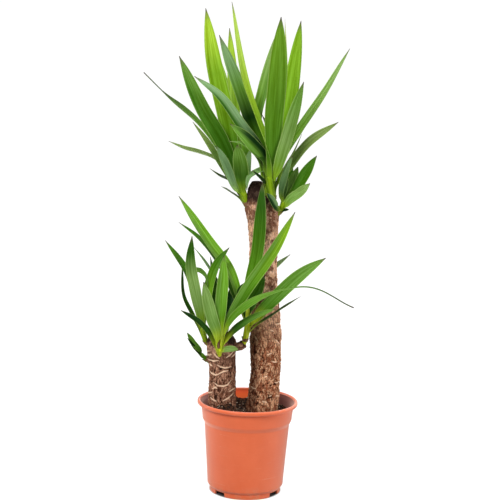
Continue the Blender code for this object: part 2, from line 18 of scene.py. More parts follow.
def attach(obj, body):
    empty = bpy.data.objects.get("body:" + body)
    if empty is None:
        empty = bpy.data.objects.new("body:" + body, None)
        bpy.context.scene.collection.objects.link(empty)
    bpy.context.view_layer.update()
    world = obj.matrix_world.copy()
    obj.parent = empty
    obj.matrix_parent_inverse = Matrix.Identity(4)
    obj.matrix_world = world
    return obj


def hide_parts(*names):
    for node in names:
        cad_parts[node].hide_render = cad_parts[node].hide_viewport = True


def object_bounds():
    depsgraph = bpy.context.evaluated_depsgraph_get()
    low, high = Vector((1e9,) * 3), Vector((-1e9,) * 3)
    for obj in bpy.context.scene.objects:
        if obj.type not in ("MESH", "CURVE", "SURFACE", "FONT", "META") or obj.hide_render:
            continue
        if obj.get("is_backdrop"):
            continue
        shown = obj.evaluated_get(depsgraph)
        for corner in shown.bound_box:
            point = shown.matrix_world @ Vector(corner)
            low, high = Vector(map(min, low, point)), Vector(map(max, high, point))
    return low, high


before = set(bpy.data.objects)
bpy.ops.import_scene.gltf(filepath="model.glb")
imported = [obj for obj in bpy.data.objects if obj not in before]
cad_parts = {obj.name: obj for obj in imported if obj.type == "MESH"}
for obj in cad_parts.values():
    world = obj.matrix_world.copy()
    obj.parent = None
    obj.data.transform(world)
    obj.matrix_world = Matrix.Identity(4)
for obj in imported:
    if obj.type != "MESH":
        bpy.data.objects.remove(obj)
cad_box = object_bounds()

MM = 0.001
print("CAD box in mm:", [[round(c / MM) for c in corner] for corner in cad_box])

# %% [markdown]
# ## The plant's own upright frame
# The whole plant leans a little to the left in its pot. Every place on it is easier to write down for the
# upright plant, in whole millimetres, so all tables use that frame. One function then turns the finished
# points about the middle of the pot's rim and gives metres. Doing it to the points, and not to the objects,
# keeps each object at the origin, where its patterns and its export stay in place.

# %% From table millimetres to leaning metres
RIM_HEIGHT = 155  # mm, the point about which the plant leans
LEAN = math.radians(-1.8)


def leaning(points):
    """Points in table mm, turned by LEAN about the Y line through (0, 0, RIM_HEIGHT), in metres.

    x' = x cos a + (z - h) sin a and z' = h + (z - h) cos a - x sin a.
    """
    x, y, z = np.moveaxis(np.asarray(points, float), -1, 0)
    up = z - RIM_HEIGHT
    turned_x = x * math.cos(LEAN) + up * math.sin(LEAN)
    turned_z = RIM_HEIGHT + up * math.cos(LEAN) - x * math.sin(LEAN)
    return np.stack([turned_x, y, turned_z], -1) * MM


print("the top of the plant moves to", leaning((0, 0, 820)).round(3))

# %% [markdown]
# ## Camera
# The photograph looks down on the plant by about eight degrees from a little over two metres away, and it
# is itself turned by 1.8 degrees. Those values come from laying the solids over the picture until the pot's
# two ellipses and all leaf tips agreed. A long lens keeps the pot's sides almost parallel, as they are
# there.


# %% The camera at the photograph's place
def in_scene(name, data):
    """A new object with this mesh, lamp or camera, linked to the scene."""
    made = bpy.data.objects.new(name, data)
    bpy.context.scene.collection.objects.link(made)
    return made


CAMERA_PLACE = (-0.0039, -2.2, 0.74)
CAMERA_DOWN = 8.43  # degrees below the horizon
CAMERA_ROLL = 1.8  # degrees
CAMERA_LENS, SENSOR_WIDTH = 95.8, 36  # mm
camera = in_scene("camera", bpy.data.cameras.new("camera"))
camera.matrix_world = (
    Matrix.Translation(CAMERA_PLACE)
    @ Matrix.Rotation(math.radians(90 - CAMERA_DOWN), 4, "X")
    @ Matrix.Rotation(math.radians(CAMERA_ROLL), 4, "Z")
)
camera.data.lens = CAMERA_LENS
camera.data.sensor_width = SENSOR_WIDTH
camera.data.dof.use_dof = False
bpy.context.scene.camera = camera
print("camera at", CAMERA_PLACE, "with a lens of", CAMERA_LENS, "mm")

# %% [markdown]
# ## Helpers for meshes
# All pieces are grids of points: rows run along the piece and columns run round it. A closed grid joins its
# last column to its first, so there is no open seam, and each end is closed by one more point, a pole.
# Numpy works out all points at once. The faces are turned over if the volume that they enclose comes out
# negative, which makes every piece point outwards whichever way its grid was written.


# %% Joining grids into one mesh
def closed_grid(rings):
    """Quads between the rows of a (rows, columns, 3) grid whose columns close, and fans to two poles.

    Point (i, j) has the index i * columns + j, and the poles come after all of them, each at the mean of its
    end row. Returns the points, the quads and the triangles.
    """
    rows, columns = rings.shape[:2]
    row = np.arange(rows - 1)[:, None] * columns
    here = np.arange(columns)
    beside = (here + 1) % columns
    corners = (row + here, row + beside, row + beside + columns, row + here + columns)
    quads = np.stack(corners, -1).reshape(-1, 4)
    pole, last = rows * columns, (rows - 1) * columns
    start_fan = np.stack([np.full(columns, pole), beside, here], -1)
    end_fan = np.stack([np.full(columns, pole + 1), last + here, last + beside], -1)
    points = np.concatenate([rings.reshape(-1, 3), rings[0].mean(0)[None], rings[-1].mean(0)[None]])
    return points, quads, np.concatenate([start_fan, end_fan])


def volume_of(points, triangles):
    """The enclosed volume: a sixth of the sum of a . (b x c) over all triangles."""
    a, b, c = points[triangles[:, 0]], points[triangles[:, 1]], points[triangles[:, 2]]
    return float((a * np.cross(b, c)).sum() / 6)


def outwards(points, quads, triangles):
    """Quads and triangles, all turned over when the volume that they enclose is negative."""
    halves = np.concatenate([quads[:, [0, 1, 2]], quads[:, [0, 2, 3]], triangles])
    if volume_of(points, halves) < 0:
        return quads[:, ::-1], triangles[:, ::-1]
    return quads, triangles


class Heap:
    """Closed shapes that end up in one mesh, each with its own colours or masks on the points."""

    def __init__(self):
        """Starts with nothing in it."""
        self.points, self.quads, self.triangles, self.values, self.count = [], [], [], {}, 0

    def add(self, rings, **values):
        """Adds one closed grid. A value has the grid's shape, and its poles take their end row's mean."""
        points, quads, triangles = closed_grid(np.asarray(rings, float))
        quads, triangles = outwards(points, quads, triangles)
        rows, columns = rings.shape[:2]
        with_poles = {}
        for name, value in values.items():
            grid = np.asarray(value, float).reshape(rows, columns, -1)
            poles = [grid[0].mean(0), grid[-1].mean(0)]
            with_poles[name] = np.concatenate([grid.reshape(rows * columns, -1), poles])
        self.add_faces(points, quads, triangles, **with_poles)

    def add_faces(self, points, quads, triangles, **values):
        """Adds points and faces as they are, with one row of each value for every point."""
        self.points.append(points)
        self.quads.append(quads + self.count)
        self.triangles.append(triangles + self.count)
        self.count += len(points)
        for name, value in values.items():
            self.values.setdefault(name, []).append(value.reshape(len(points), -1))

    def mesh(self, name):
        """The mesh, with its values as attributes. The value called blade_map becomes a UV map."""
        faces = np.concatenate(self.quads).tolist() + np.concatenate(self.triangles).tolist()
        mesh = bpy.data.meshes.new(name)
        mesh.from_pydata(np.concatenate(self.points).tolist(), [], faces)
        for label, parts in self.values.items():
            value = np.concatenate(parts)
            if label == "blade_map":
                corners = np.empty(len(mesh.loops), np.int32)
                mesh.loops.foreach_get("vertex_index", corners)
                mesh.uv_layers.new(name=label).data.foreach_set("uv", value[corners].ravel())
            elif value.shape[1] == 1:
                mesh.attributes.new(label, "FLOAT", "POINT").data.foreach_set("value", value.ravel())
            else:
                colours = np.concatenate([value, np.ones((len(value), 1))], 1)
                mesh.attributes.new(label, "FLOAT_COLOR", "POINT").data.foreach_set("color", colours.ravel())
        mesh.validate()
        return mesh

    def piece(self, name, material, node, slot, smooth):
        """The finished object, tied to the frame. Edges sharper than smooth degrees stay sharp."""
        mesh = self.mesh(name)
        mesh.materials.append(material)
        mesh.shade_smooth()
        mesh.set_sharp_from_angle(angle=math.radians(smooth))
        piece = in_scene(name, mesh)
        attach(piece, "root")
        if node:
            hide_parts(node)
        print(name, "has", sum(len(face.vertices) - 2 for face in mesh.polygons), "triangles")
        return piece


print("a closed grid of 3 rows and 4 columns has", len(closed_grid(np.zeros((3, 4, 3)))[1]), "quads")

# %% [markdown]
# ## Helpers for curves and for natural unevenness
# A smooth path through hand-chosen places is a chain of cubic pieces, with the slope at each place taken
# from its neighbours. Bark, soil and leaves also need an unevenness that looks natural and comes out the
# same each time. It is built here from a block of seeded random numbers at the corners of unit cubes, eased
# between the corners, and summed at several sizes.


# %% Smooth curves and seeded noise
def unit(vectors):
    """The same directions with a length of 1: v / |v|."""
    return vectors / np.linalg.norm(vectors, axis=-1, keepdims=True)


def through(knots, values, places):
    """Cubic pieces through values at knots: on each span the Hermite sum of end values and end slopes."""
    values = np.asarray(values, float).reshape(len(knots), -1)
    knots = np.asarray(knots, float)
    slopes = np.gradient(values, knots, axis=0)
    i = np.clip(np.searchsorted(knots, places, side="right") - 1, 0, len(knots) - 2)
    h = np.diff(knots)[i][:, None]
    u = (places - knots[i])[:, None] / h
    return (
        (1 + 2 * u) * (1 - u) ** 2 * values[i]
        + u * (1 - u) ** 2 * h * slopes[i]
        + u**2 * (3 - 2 * u) * values[i + 1]
        + u**2 * (u - 1) * h * slopes[i + 1]
    )


def smooth_path(places, count):
    """count evenly spaced points on the cubic curve through the places, measured along the curve."""
    places = np.asarray(places, float)
    knots = np.concatenate([[0], np.cumsum(np.linalg.norm(np.diff(places, axis=0), axis=1))])
    curve = through(knots, places, np.linspace(0, knots[-1], 200))
    run = np.concatenate([[0], np.cumsum(np.linalg.norm(np.diff(curve, axis=0), axis=1))])
    even = np.linspace(0, run[-1], count)
    return np.stack([np.interp(even, run, curve[:, axis]) for axis in range(3)], 1)


def ease(low, high, values):
    """0 below low, 1 above high, and 3t^2 - 2t^3 between."""
    t = np.clip((values - low) / (high - low), 0, 1)
    return t * t * (3 - 2 * t)


BLOCK = 24  # random numbers along each side of the block, which repeats after that
OCTAVE_SHIFT = 7.3  # moves each size of the noise away from the one before


def noise(points, seed, octaves=1):
    """Sum over octaves k of 2^-k times the eased random block read at 2^k times the points, about -1 to 1."""
    block = np.random.default_rng(seed).uniform(-1, 1, (BLOCK, BLOCK, BLOCK))
    total = np.zeros(points.shape[:-1])
    for k in range(octaves):
        scaled = points * 2**k + OCTAVE_SHIFT * k
        cell = np.floor(scaled).astype(int)
        part = scaled - cell
        part = part * part * (3 - 2 * part)
        for corner in itertools.product((0, 1), repeat=3):
            share = np.where(corner, part, 1 - part).prod(-1)
            i, j, l = np.moveaxis((cell + corner) % BLOCK, -1, 0)
            total += share * block[i, j, l] / 2**k
    return total


sample = noise(np.random.default_rng(1).uniform(0, 9, (999, 3)), 5, 3)
print("the noise runs from", sample.min().round(2), "to", sample.max().round(2))

# %% [markdown]
# ## Helpers for materials
# A material is a small network of nodes that ends in a Principled shader. Writing each node on one line
# keeps the network readable. Colours are chosen in ordinary screen values, so a helper turns them into the
# linear values that the shader expects.


# %% Nodes in one line each
def paint(red, green, blue):
    """A screen colour from 0 to 255 as linear numbers.

    c becomes ((c / 255 + 0.055) / 1.055) ^ 2.4, or c / 255 / 12.92 where it is very dark.
    """
    shares = np.array((red, green, blue)) / 255
    linear = np.where(shares > 0.04045, ((shares + 0.055) / 1.055) ** 2.4, shares / 12.92)
    return tuple(float(c) for c in linear)


def filled(tree, made, inputs):
    """Links an input that is given another node's output, and sets any other one to its fixed value."""
    for name, value in inputs.items():
        socket = made.inputs[name]
        if isinstance(value, bpy.types.NodeSocket):
            tree.links.new(value, socket)
        elif socket.type == "RGBA":
            socket.default_value = (*value, 1)
        else:
            socket.default_value = value
    return made


def node(tree, kind, inputs, **settings):
    """A new node with its settings and its inputs."""
    made = tree.nodes.new("ShaderNode" + kind)
    for name, value in settings.items():
        setattr(made, name, value)
    return filled(tree, made, inputs)


def maths(tree, operation, *values):
    """One step of arithmetic on numbers or outputs."""
    return node(tree, "Math", dict(enumerate(values)), operation=operation).outputs[0]


def product(tree, first, *others):
    """All values multiplied with each other."""
    for other in others:
        first = maths(tree, "MULTIPLY", first, other)
    return first


def blend(tree, share, first, second):
    """first where share is 0 and second where it is 1."""
    return node(tree, "Mix", {"Factor": share, 6: first, 7: second}, data_type="RGBA").outputs[2]


def spread(tree, value, low, high, to_low=0.0, to_high=1.0):
    """Maps low..high to to_low..to_high, eased and held outside."""
    inputs = {"Value": value, 1: low, 2: high, 3: to_low, 4: to_high}
    return node(tree, "MapRange", inputs, interpolation_type="SMOOTHSTEP").outputs[0]


def attribute(tree, name, output="Fac"):
    """A value that is kept on the piece's points, as a number or as a colour."""
    return node(tree, "Attribute", {}, attribute_name=name).outputs[output]


def object_place(tree, scale=(1, 1, 1)):
    """The place on the object in metres, each axis stretched. It stays put as the camera moves."""
    place = node(tree, "TexCoord", {}).outputs["Object"]
    return node(tree, "Mapping", {"Vector": place, "Scale": scale}).outputs["Vector"]


def finish_of(name, roughness, **fixed):
    """A material and its Principled shader, with the values that are the same all over."""
    made = bpy.data.materials.new(name)
    made.use_nodes = True
    shader = made.node_tree.nodes["Principled BSDF"]
    shader.inputs["Roughness"].default_value = roughness
    for label, value in fixed.items():
        shader.inputs[label.replace("_", " ")].default_value = value
    return made, made.node_tree, shader


def axis_of(tree, place, axis):
    """One coordinate of a place."""
    return node(tree, "SeparateXYZ", {"Vector": place}).outputs[axis]


print("a screen grey of 128 is", round(paint(128, 128, 128)[0], 3), "in linear light")

# %% [markdown]
# ## Two effects that several finishes share
# Soil, bark, plastic and leaves all show soft patches of another shade, and all have a fine unevenness that
# only the light shows. Each effect is a node group that is built once and placed in each material with its
# own numbers. The groups give out only a mask and a height, so the shader itself stays in the material.


# %% The shared node groups
def group_of(name, numbers, output):
    """An empty group that takes a place and some numbers and gives one number out."""
    tree = bpy.data.node_groups.new(name, "ShaderNodeTree")
    tree.interface.new_socket("Place", in_out="INPUT", socket_type="NodeSocketVector")
    for label in numbers:
        tree.interface.new_socket(label, in_out="INPUT", socket_type="NodeSocketFloat")
    tree.interface.new_socket(output, in_out="OUTPUT", socket_type="NodeSocketFloat")
    return tree, tree.nodes.new("NodeGroupInput").outputs, tree.nodes.new("NodeGroupOutput")


patches, given, out = group_of("soft_patches", ("Scale", "From", "To"), "Mask")
place_and_scale = {"Vector": given["Place"], "Scale": given["Scale"]}
cloud = node(patches, "TexNoise", {**place_and_scale, "Detail": 4.0, "Roughness": 0.6})
patches.links.new(spread(patches, cloud.outputs[0], given["From"], given["To"]), out.inputs["Mask"])

grain, given, out = group_of("fine_grain", ("Scale", "Pits"), "Height")
place_and_scale = {"Vector": given["Place"], "Scale": given["Scale"]}
fine = node(grain, "TexNoise", {**place_and_scale, "Detail": 3.0, "Roughness": 0.65})
cells = node(grain, "TexVoronoi", place_and_scale, feature="F1")
pitted = product(grain, cells.outputs["Distance"], given["Pits"])
grain.links.new(maths(grain, "ADD", fine.outputs[0], pitted), out.inputs["Height"])


def placed(tree, group, output, **inputs):
    """The named output of a shared group, placed in a material with its own values."""
    made = tree.nodes.new("ShaderNodeGroup")
    made.node_tree = group
    return filled(tree, made, inputs).outputs[output]


def patch_mask(tree, place, scale, low, high):
    """Soft patches: 0 where a noise is under low, 1 where it is over high. A larger scale shrinks them."""
    return placed(tree, patches, "Mask", Place=place, Scale=scale, From=low, To=high)


def grain_height(tree, place, scale, pits):
    """A fine noise plus pits times the distance to the nearest of some scattered points."""
    return placed(tree, grain, "Height", Place=place, Scale=scale, Pits=pits)


def bumped(tree, shader, height, distance):
    """Feeds a height to the shader's normal. A height of 1 stands distance metres proud."""
    bump = node(tree, "Bump", {"Height": height, "Distance": distance})
    tree.links.new(bump.outputs[0], shader.inputs["Normal"])


print("shared groups:", [g.name for g in bpy.data.node_groups])

# %% [markdown]
# ## Floor, light and background
# The photograph is a cut-out on white with hardly any shadow. A white dish stands in for it: a wide flat
# floor that curves up into a wall all round, so that the same plain ground is behind the plant from every
# side. It glows evenly for the camera alone. Its light on the plant is only what it throws back, so the
# shaded sides keep their depth. The glow ends under the pot, where no light comes in. One large soft lamp
# from the upper left is the main light, and weaker ones from the top, the sides and the back round off the
# shapes.

# %% The pale dish
FLOOR_FLAT, FLOOR_RISE = 5.0, 4.0  # metres: how far the dish is flat, and the radius of the bend that ends it
POT_EDGE = (0.057, 0.0635)  # metres from the axis, between which the glow begins
bend = np.linspace(0.1, math.pi / 2, 16)
flat = np.linspace(0.02, FLOOR_FLAT, 12)
far = np.concatenate([flat, FLOOR_FLAT + FLOOR_RISE * np.sin(bend)])
rise = np.concatenate([0 * flat, FLOOR_RISE * (1 - np.cos(bend))])
turn = np.linspace(0, 2 * math.pi, 96, endpoint=False)
dish = np.stack([far[:, None] * np.cos(turn), far[:, None] * np.sin(turn), rise[:, None] + 0 * turn], -1)
points, quads, fans = closed_grid(dish)
middle_fan = fans[: len(turn), ::-1]  # the other fan would be a lid on the dish, and so would the last pole
floor_mesh = bpy.data.meshes.new("pale_floor")
floor_mesh.from_pydata(points[:-1].tolist(), [], quads.tolist() + middle_fan.tolist())
floor = in_scene("pale_floor", floor_mesh)
floor_mesh.shade_smooth()
floor_look, tree, shader = finish_of("pale_paper", 0.9, Specular_IOR_Level=0.1)
shader.inputs["Emission Color"].default_value = (1, 1, 1, 1)
from_axis = node(tree, "VectorMath", {0: object_place(tree)}, operation="LENGTH").outputs["Value"]
seen = node(tree, "LightPath", {}).outputs["Is Camera Ray"]
glow = product(tree, seen, spread(tree, from_axis, *POT_EDGE))
tree.links.new(glow, shader.inputs["Emission Strength"])
shade = patch_mask(tree, object_place(tree), 2.0, 0.3, 0.7)
thrown = blend(tree, shade, (0.36, 0.36, 0.36), (0.38, 0.38, 0.38))
tree.links.new(blend(tree, seen, thrown, (0.1, 0.1, 0.1)), shader.inputs["Base Color"])
floor_mesh.materials.append(floor_look)
floor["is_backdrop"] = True
print("the floor's rim is", FLOOR_FLAT + FLOOR_RISE, "m away and", FLOOR_RISE, "m high")

# %% Soft lamps and the white surroundings
# Each lamp: name, place in metres, width in metres, power in watts. Each points at the middle of the plant.
LAMPS = (
    ("main_lamp", (-1.5, -2.5, 2.5), 1.2, 84),
    ("front_right_lamp", (2.5, -2.0, 1.4), 1.2, 34),
    ("top_lamp", (0.1, 0.2, 3.0), 1.4, 50),
    ("left_lamp", (-2.8, 0.9, 1.1), 1.2, 32),
    ("right_lamp", (2.8, 0.9, 1.1), 1.2, 34),
    ("back_lamp", (0.4, 3.0, 2.0), 1.6, 34),
)
PLANT_MIDDLE = Vector((0, 0, 0.42))
SURROUNDINGS = 0.3  # strength of the plain white world
for name, place, size, power in LAMPS:
    lamp = bpy.data.lights.new(name, "AREA")
    lamp.energy = power
    lamp.size = size
    holder = in_scene(name, lamp)
    holder.location = place
    holder.rotation_euler = (Vector(place) - PLANT_MIDDLE).to_track_quat("Z", "Y").to_euler()
    holder.visible_camera = False
world = bpy.context.scene.world or bpy.data.worlds.new("studio")
bpy.context.scene.world = world
world.use_nodes = True
background = world.node_tree.nodes["Background"]
background.inputs["Color"].default_value = (1, 1, 1, 1)
background.inputs["Strength"].default_value = SURROUNDINGS
bpy.context.scene.view_settings.view_transform = "Standard"
bpy.context.scene.view_settings.exposure = 0.0
print(len(LAMPS), "lamps")

# %% [markdown]
# ## Pot
# The pot is a common thermoformed nursery pot: thin plastic with a rolled lip, a collar that steps in, a
# plain tapered body, and a foot ring with four openings for water. Such a shape is turned on a wheel, so
# its profile is carried round the axis. The lip is an arc in the profile. The foot's openings are not cut
# at all: inside each one, the lower points of the foot ring are simply lifted. The holes in the floor are
# cut by a Boolean, because they do not follow the grid.


# %% The pot's profile
def arc(centre_r, centre_z, radius, start, end, count):
    """Points (r, z) on a circle about (centre_r, centre_z), from the start to the end angle in degrees."""
    angle = np.radians(np.linspace(start, end, count))
    return np.stack([centre_r + radius * np.cos(angle), centre_z + radius * np.sin(angle)], 1)


def lined(start, end, count):
    """count points on the straight line from start towards end, the end left out."""
    return np.linspace(start, end, count, endpoint=False)


# (radius, height) in mm: the inside from its floor up, the lip, the outside down and the base.
POT_PROFILE = np.concatenate([
    lined((1, 11), (52, 11), 14),
    lined((56, 11), (58, 11), 2),
    arc(58.3, 15, 4, -80, 0, 5),
    lined((62.6, 18), (69.9, 116), 22),
    arc(72.6, 118, 2, 200, 120, 4),
    lined((73.1, 122), (76.4, 146), 8),
    lined((76.7, 147.6), (79.1, 151.6), 4),
    arc(82.3, 152.3, 2.7, 175, 0, 16),
    lined((85, 151.8), (84.9, 150.6), 3),
    arc(83.2, 150.3, 1.8, 0, -90, 6),
    lined((82, 148.5), (80.4, 148.3), 3),
    arc(80.2, 146.5, 1.8, 90, 175, 5),
    lined((78.2, 145), (76.0, 128.5), 10),
    arc(70.0, 127.2, 6, 5, -33, 7),
    arc(79.1, 116.4, 7, 143, 176, 7),
    lined((72.1, 115.5), (64.6, 16), 34),
    arc(62.8, 13.4, 1.7, -5, -80, 6),
    lined((62.2, 9.4), (61.6, 9.1), 2),
    lined((60.6, 8.8), (60.5, 1.0), 8),
    arc(59.9, 0.6, 0.6, 0, -90, 4),
    arc(58.1, 0.6, 0.6, -90, -180, 4),
    lined((57.5, 1.2), (57.5, 7.8), 6),
    lined((56.8, 8.5), (1, 8.5), 14),
])
LIP_LIFT = 2.0  # mm: from the collar up, the lip is drawn this much higher than in the CAD model
POT_PROFILE[:, 1] += LIP_LIFT * ease(126, 146, POT_PROFILE[:, 1])
print("the pot's profile has", len(POT_PROFILE), "points")

# %% Turning the profile and lifting the foot's openings
OPENING_TURNS = np.radians((55, 142, 228, 315))  # round from the front
OPENING_HALF_TURN = 12 / 60.5  # half the opening's width over the foot's radius, in radians
OPENING_HEIGHT = 7.4  # mm
CORNER = math.radians(1.2)  # how much turn an opening's corner takes
FOOT_RADIUS = 56  # mm, inside which the floor lies
POT_COLUMNS = 216
WOBBLE = 0.25  # mm


def pot_turns():
    """Evenly spread turns, with more of them where an opening of the foot begins or ends."""
    edges = OPENING_TURNS[:, None] + np.array((-1, 1)) * OPENING_HALF_TURN
    close = edges.reshape(-1, 1) + np.linspace(-1.2, 1.2, 7) * CORNER
    even = np.linspace(0, 2 * math.pi, POT_COLUMNS, endpoint=False)
    return np.unique(np.concatenate([even, close.ravel()]) % (2 * math.pi))


def pot_surface(turns):
    """r and z of the profile at each turn t: x = r sin t, y = -r cos t.

    In an opening the foot's z becomes the larger of z and the opening's height. A slight wobble, as thin
    plastic has, is r + WOBBLE sin(2t + 1) sin(3 z / h).
    """
    r = POT_PROFILE[:, 0][:, None] + 0 * turns
    z = POT_PROFILE[:, 1][:, None] + 0 * turns
    apart = np.abs((turns[:, None] - OPENING_TURNS + math.pi) % (2 * math.pi) - math.pi).min(1)
    opening = 1 - ease(OPENING_HALF_TURN - CORNER, OPENING_HALF_TURN, apart)
    foot = (r > FOOT_RADIUS) & (z < OPENING_HEIGHT)
    z = np.where(foot, np.maximum(z, opening * (OPENING_HEIGHT + 0.1 * z / OPENING_HEIGHT)), z)
    r = r + WOBBLE * np.sin(2 * turns + 1) * np.sin(3 * z / RIM_HEIGHT)
    return np.stack([r * np.sin(turns), -r * np.cos(turns), z], -1)


print("the pot has", len(pot_turns()), "columns")

# %% [markdown]
# ## Finish of the pot
# The plastic is an even warm orange with a satin shine. Up close it shows faint clouds where the sheet was
# stretched, fine scuffs that run round it, a little pale dust low down, and a very fine pitting. A soft
# pale sheen lies on its sides. Inside, the plastic is painted dark red at the sides as painted shade, and
# bright orange at the back, where the wall also glows a little: painted light that stands for light coming
# through the thin wall. Towards the soil the inside darkens further, partly a stain from the damp soil and
# partly painted shade. The hollow under the pot's floor is painted dark, as painted shade.

# %% Terracotta plastic
DUST_TOP = 0.03  # metres, above which no dust lies
terracotta, tree, shader = finish_of(
    "terracotta_plastic", 0.42, Specular_IOR_Level=0.45, Subsurface_Weight=0.06, Emission_Strength=0.4,
    Sheen_Weight=1.0, Sheen_Roughness=0.5,
)
shader.inputs["Sheen Tint"].default_value = (*paint(255, 206, 190), 1)
shader.inputs["Subsurface Radius"].default_value = (1.0, 0.35, 0.2)
shader.inputs["Subsurface Scale"].default_value = 0.003
place = object_place(tree)
height, depth = axis_of(tree, place, "Z"), axis_of(tree, place, "Y")
clouded = patch_mask(tree, place, 22.0, 0.35, 0.7)
colour = blend(tree, clouded, paint(234, 106, 58), paint(239, 112, 64))
round_scuffs = patch_mask(tree, object_place(tree, (14, 14, 700)), 1.0, 0.56, 0.72)
scuffs = product(tree, round_scuffs, patch_mask(tree, place, 60.0, 0.45, 0.6), 0.35)
colour = blend(tree, scuffs, colour, paint(240, 158, 124))
dust = product(tree, spread(tree, height, DUST_TOP, 0.0), patch_mask(tree, place, 90.0, 0.4, 0.75), 0.4)
colour = blend(tree, dust, colour, paint(205, 150, 120))
print("dust lies on the lowest", DUST_TOP / MM, "mm of the pot")

# %% The inside of the pot, by its place
# Inside is nearer to the axis than the larger of two sloping lines, which run within the wall and the collar.
INSIDE_LINES = ((0.125, 0.0591), (0.242, 0.0421))  # slope with the height, and reach at height 0 in metres
COLLAR_FOOT = 0.1262  # metres, where the inside begins to count: under it lies the soil
BASE_TOP, BASE_REACH = 0.0088, 0.0578  # metres: the hollow under the floor
PAINTED_LIGHT_BACK = (0.05, 0.074)  # metres from the axis to the back, between which the inside turns from painted shade to painted light
GLOW_HEIGHTS = (0.158, 0.144)  # metres: the painted glow, and the stain with its painted shade, each grow from the first height down to the second
STAIN_AND_SHADE_HEIGHTS = (0.15, 0.137)
level = node(tree, "VectorMath", {0: place, 1: (1, 1, 0)}, operation="MULTIPLY").outputs[0]
reach = node(tree, "VectorMath", {0: level}, operation="LENGTH").outputs["Value"]
edge = maths(tree, "MAXIMUM", *(maths(tree, "MULTIPLY_ADD", height, *line) for line in INSIDE_LINES))
above_soil = maths(tree, "GREATER_THAN", height, COLLAR_FOOT)
inside = product(tree, maths(tree, "LESS_THAN", reach, edge), above_soil)
# painted shade and painted light: the inside is dark red at its sides and bright orange at the back
at_back = spread(tree, depth, *PAINTED_LIGHT_BACK)
painted_inside_light_and_shade = blend(tree, at_back, paint(84, 4, 0), paint(218, 66, 18))
colour = blend(tree, product(tree, inside, 0.97), colour, painted_inside_light_and_shade)
# painted light: the back of the inside glows, standing in for light through the thin wall
glow = product(tree, inside, at_back, spread(tree, height, *GLOW_HEIGHTS))
tree.links.new(blend(tree, glow, paint(0, 0, 0), paint(255, 118, 60)), shader.inputs["Emission Color"])
# a damp stain and painted shade: the inside darkens towards the soil
stain_and_shade = product(tree, inside, spread(tree, height, *STAIN_AND_SHADE_HEIGHTS, 0.0, 0.6))
colour = blend(tree, stain_and_shade, colour, paint(112, 42, 28))
# painted shade: the hollow under the pot's floor is painted dark brown
under = product(tree, maths(tree, "LESS_THAN", height, BASE_TOP), maths(tree, "LESS_THAN", reach, BASE_REACH))
colour = blend(tree, product(tree, under, 0.9), colour, paint(60, 26, 20))
tree.links.new(colour, shader.inputs["Base Color"])
rough = maths(tree, "MULTIPLY_ADD", clouded, 0.08, 0.36)
for mask, rougher in ((scuffs, 0.4), (dust, 0.5), (inside, 0.5)):
    rough = maths(tree, "MULTIPLY_ADD", mask, rougher, rough)
tree.links.new(rough, shader.inputs["Roughness"])
bumped(tree, shader, grain_height(tree, place, 1400.0, 0.3), 0.00004)
print("the pot's finish has", len(tree.nodes), "nodes")

# %% The finished pot
DRAIN_HOLES, DRAIN_RADIUS, DRAIN_CIRCLE = 6, 4.5, 42  # count, then mm
DRILL_SPAN, DRILL_SIDES = (4.0, 16.0), 28  # mm, from below the floor to above it
pot_heap = Heap()
pot_heap.add(pot_surface(pot_turns()) * MM)
pot = pot_heap.piece("pot_shell", terracotta, "pot", "terracotta_plastic", 50)
drill_heap = Heap()
around = np.linspace(0, 2 * math.pi, DRILL_SIDES, endpoint=False)
for number in range(DRAIN_HOLES):
    spot = 2 * math.pi * (number + 0.5) / DRAIN_HOLES
    x = DRAIN_CIRCLE * math.cos(spot) + DRAIN_RADIUS * np.cos(around)
    y = DRAIN_CIRCLE * math.sin(spot) + DRAIN_RADIUS * np.sin(around)
    drill_heap.add(np.stack([np.stack([x, y, 0 * around + z], -1) for z in DRILL_SPAN]) * MM)
drill = in_scene("drill", drill_heap.mesh("drill"))
cut = pot.modifiers.new("drain_holes", "BOOLEAN")
cut.object = drill
cut.solver = "EXACT"
drilled = bpy.data.meshes.new_from_object(pot.evaluated_get(bpy.context.evaluated_depsgraph_get()))
pot.modifiers.clear()
pot.data = drilled
bpy.data.objects.remove(drill)
print("the drilled pot has", len(pot.data.polygons), "faces")

# %% [markdown]
# ## Soil
# Peat-based potting soil fills the pot to 17 mm under the rim. From above it is a crumbly dark ground with
# lumps of all sizes, bits of bark and a few white grains of perlite. The bed itself is one closed solid
# whose top rises and falls with the noise. The larger crumbs are separate small lumps on it, each a
# twenty-sided solid that is stretched and turned at random, with only twenty faces because there are
# hundreds of them.

# %% The bed of soil
SOIL_TOP = 138  # mm
SOIL_REACH = 74.0  # mm, the inside of the pot at that height
SOIL_HEAPS = ((-36, -32, 22, 18, 19), (-15, 60, 24, 14, 4))  # x, y, half width, half depth and height in mm
EDGE_FALL = 2.5  # mm, by which the soil falls over its last 3 mm
SOIL_ROWS, SOIL_COLUMNS = 120, 300
# (radius, height) in mm, from the edge of the top down the sides and in under the bed.
SOIL_SIDES = ((74.0, 132), (72.4, 121), (69.8, 117), (62.0, 16), (57.5, 11.6), (30, 11.6), (2, 11.6))


def soil_height(x, y):
    """Height of the soil in mm: its top, slow waves, the heaps, lumps of 8 mm and crumbs of 3 mm.

    A heap is its height times exp(-(dx / half width)^2 - (dy / half depth)^2). The first leans on the short
    trunk, and the second lies at the back.
    """
    flat = np.stack([x, y, 0 * x], -1)
    slow = 1.4 * np.sin(0.23 * x + 1) * np.cos(0.19 * y)
    for heap_x, heap_y, wide, deep, tall in SOIL_HEAPS:
        slow = slow + tall * np.exp(-(((x - heap_x) / wide) ** 2) - ((y - heap_y) / deep) ** 2)
    lumps = 1.5 * noise(flat / 8, 11, 2)
    crumbs = 0.9 * noise(flat / 2.6, 12, 3)
    return SOIL_TOP + 0.5 + slow + lumps + crumbs


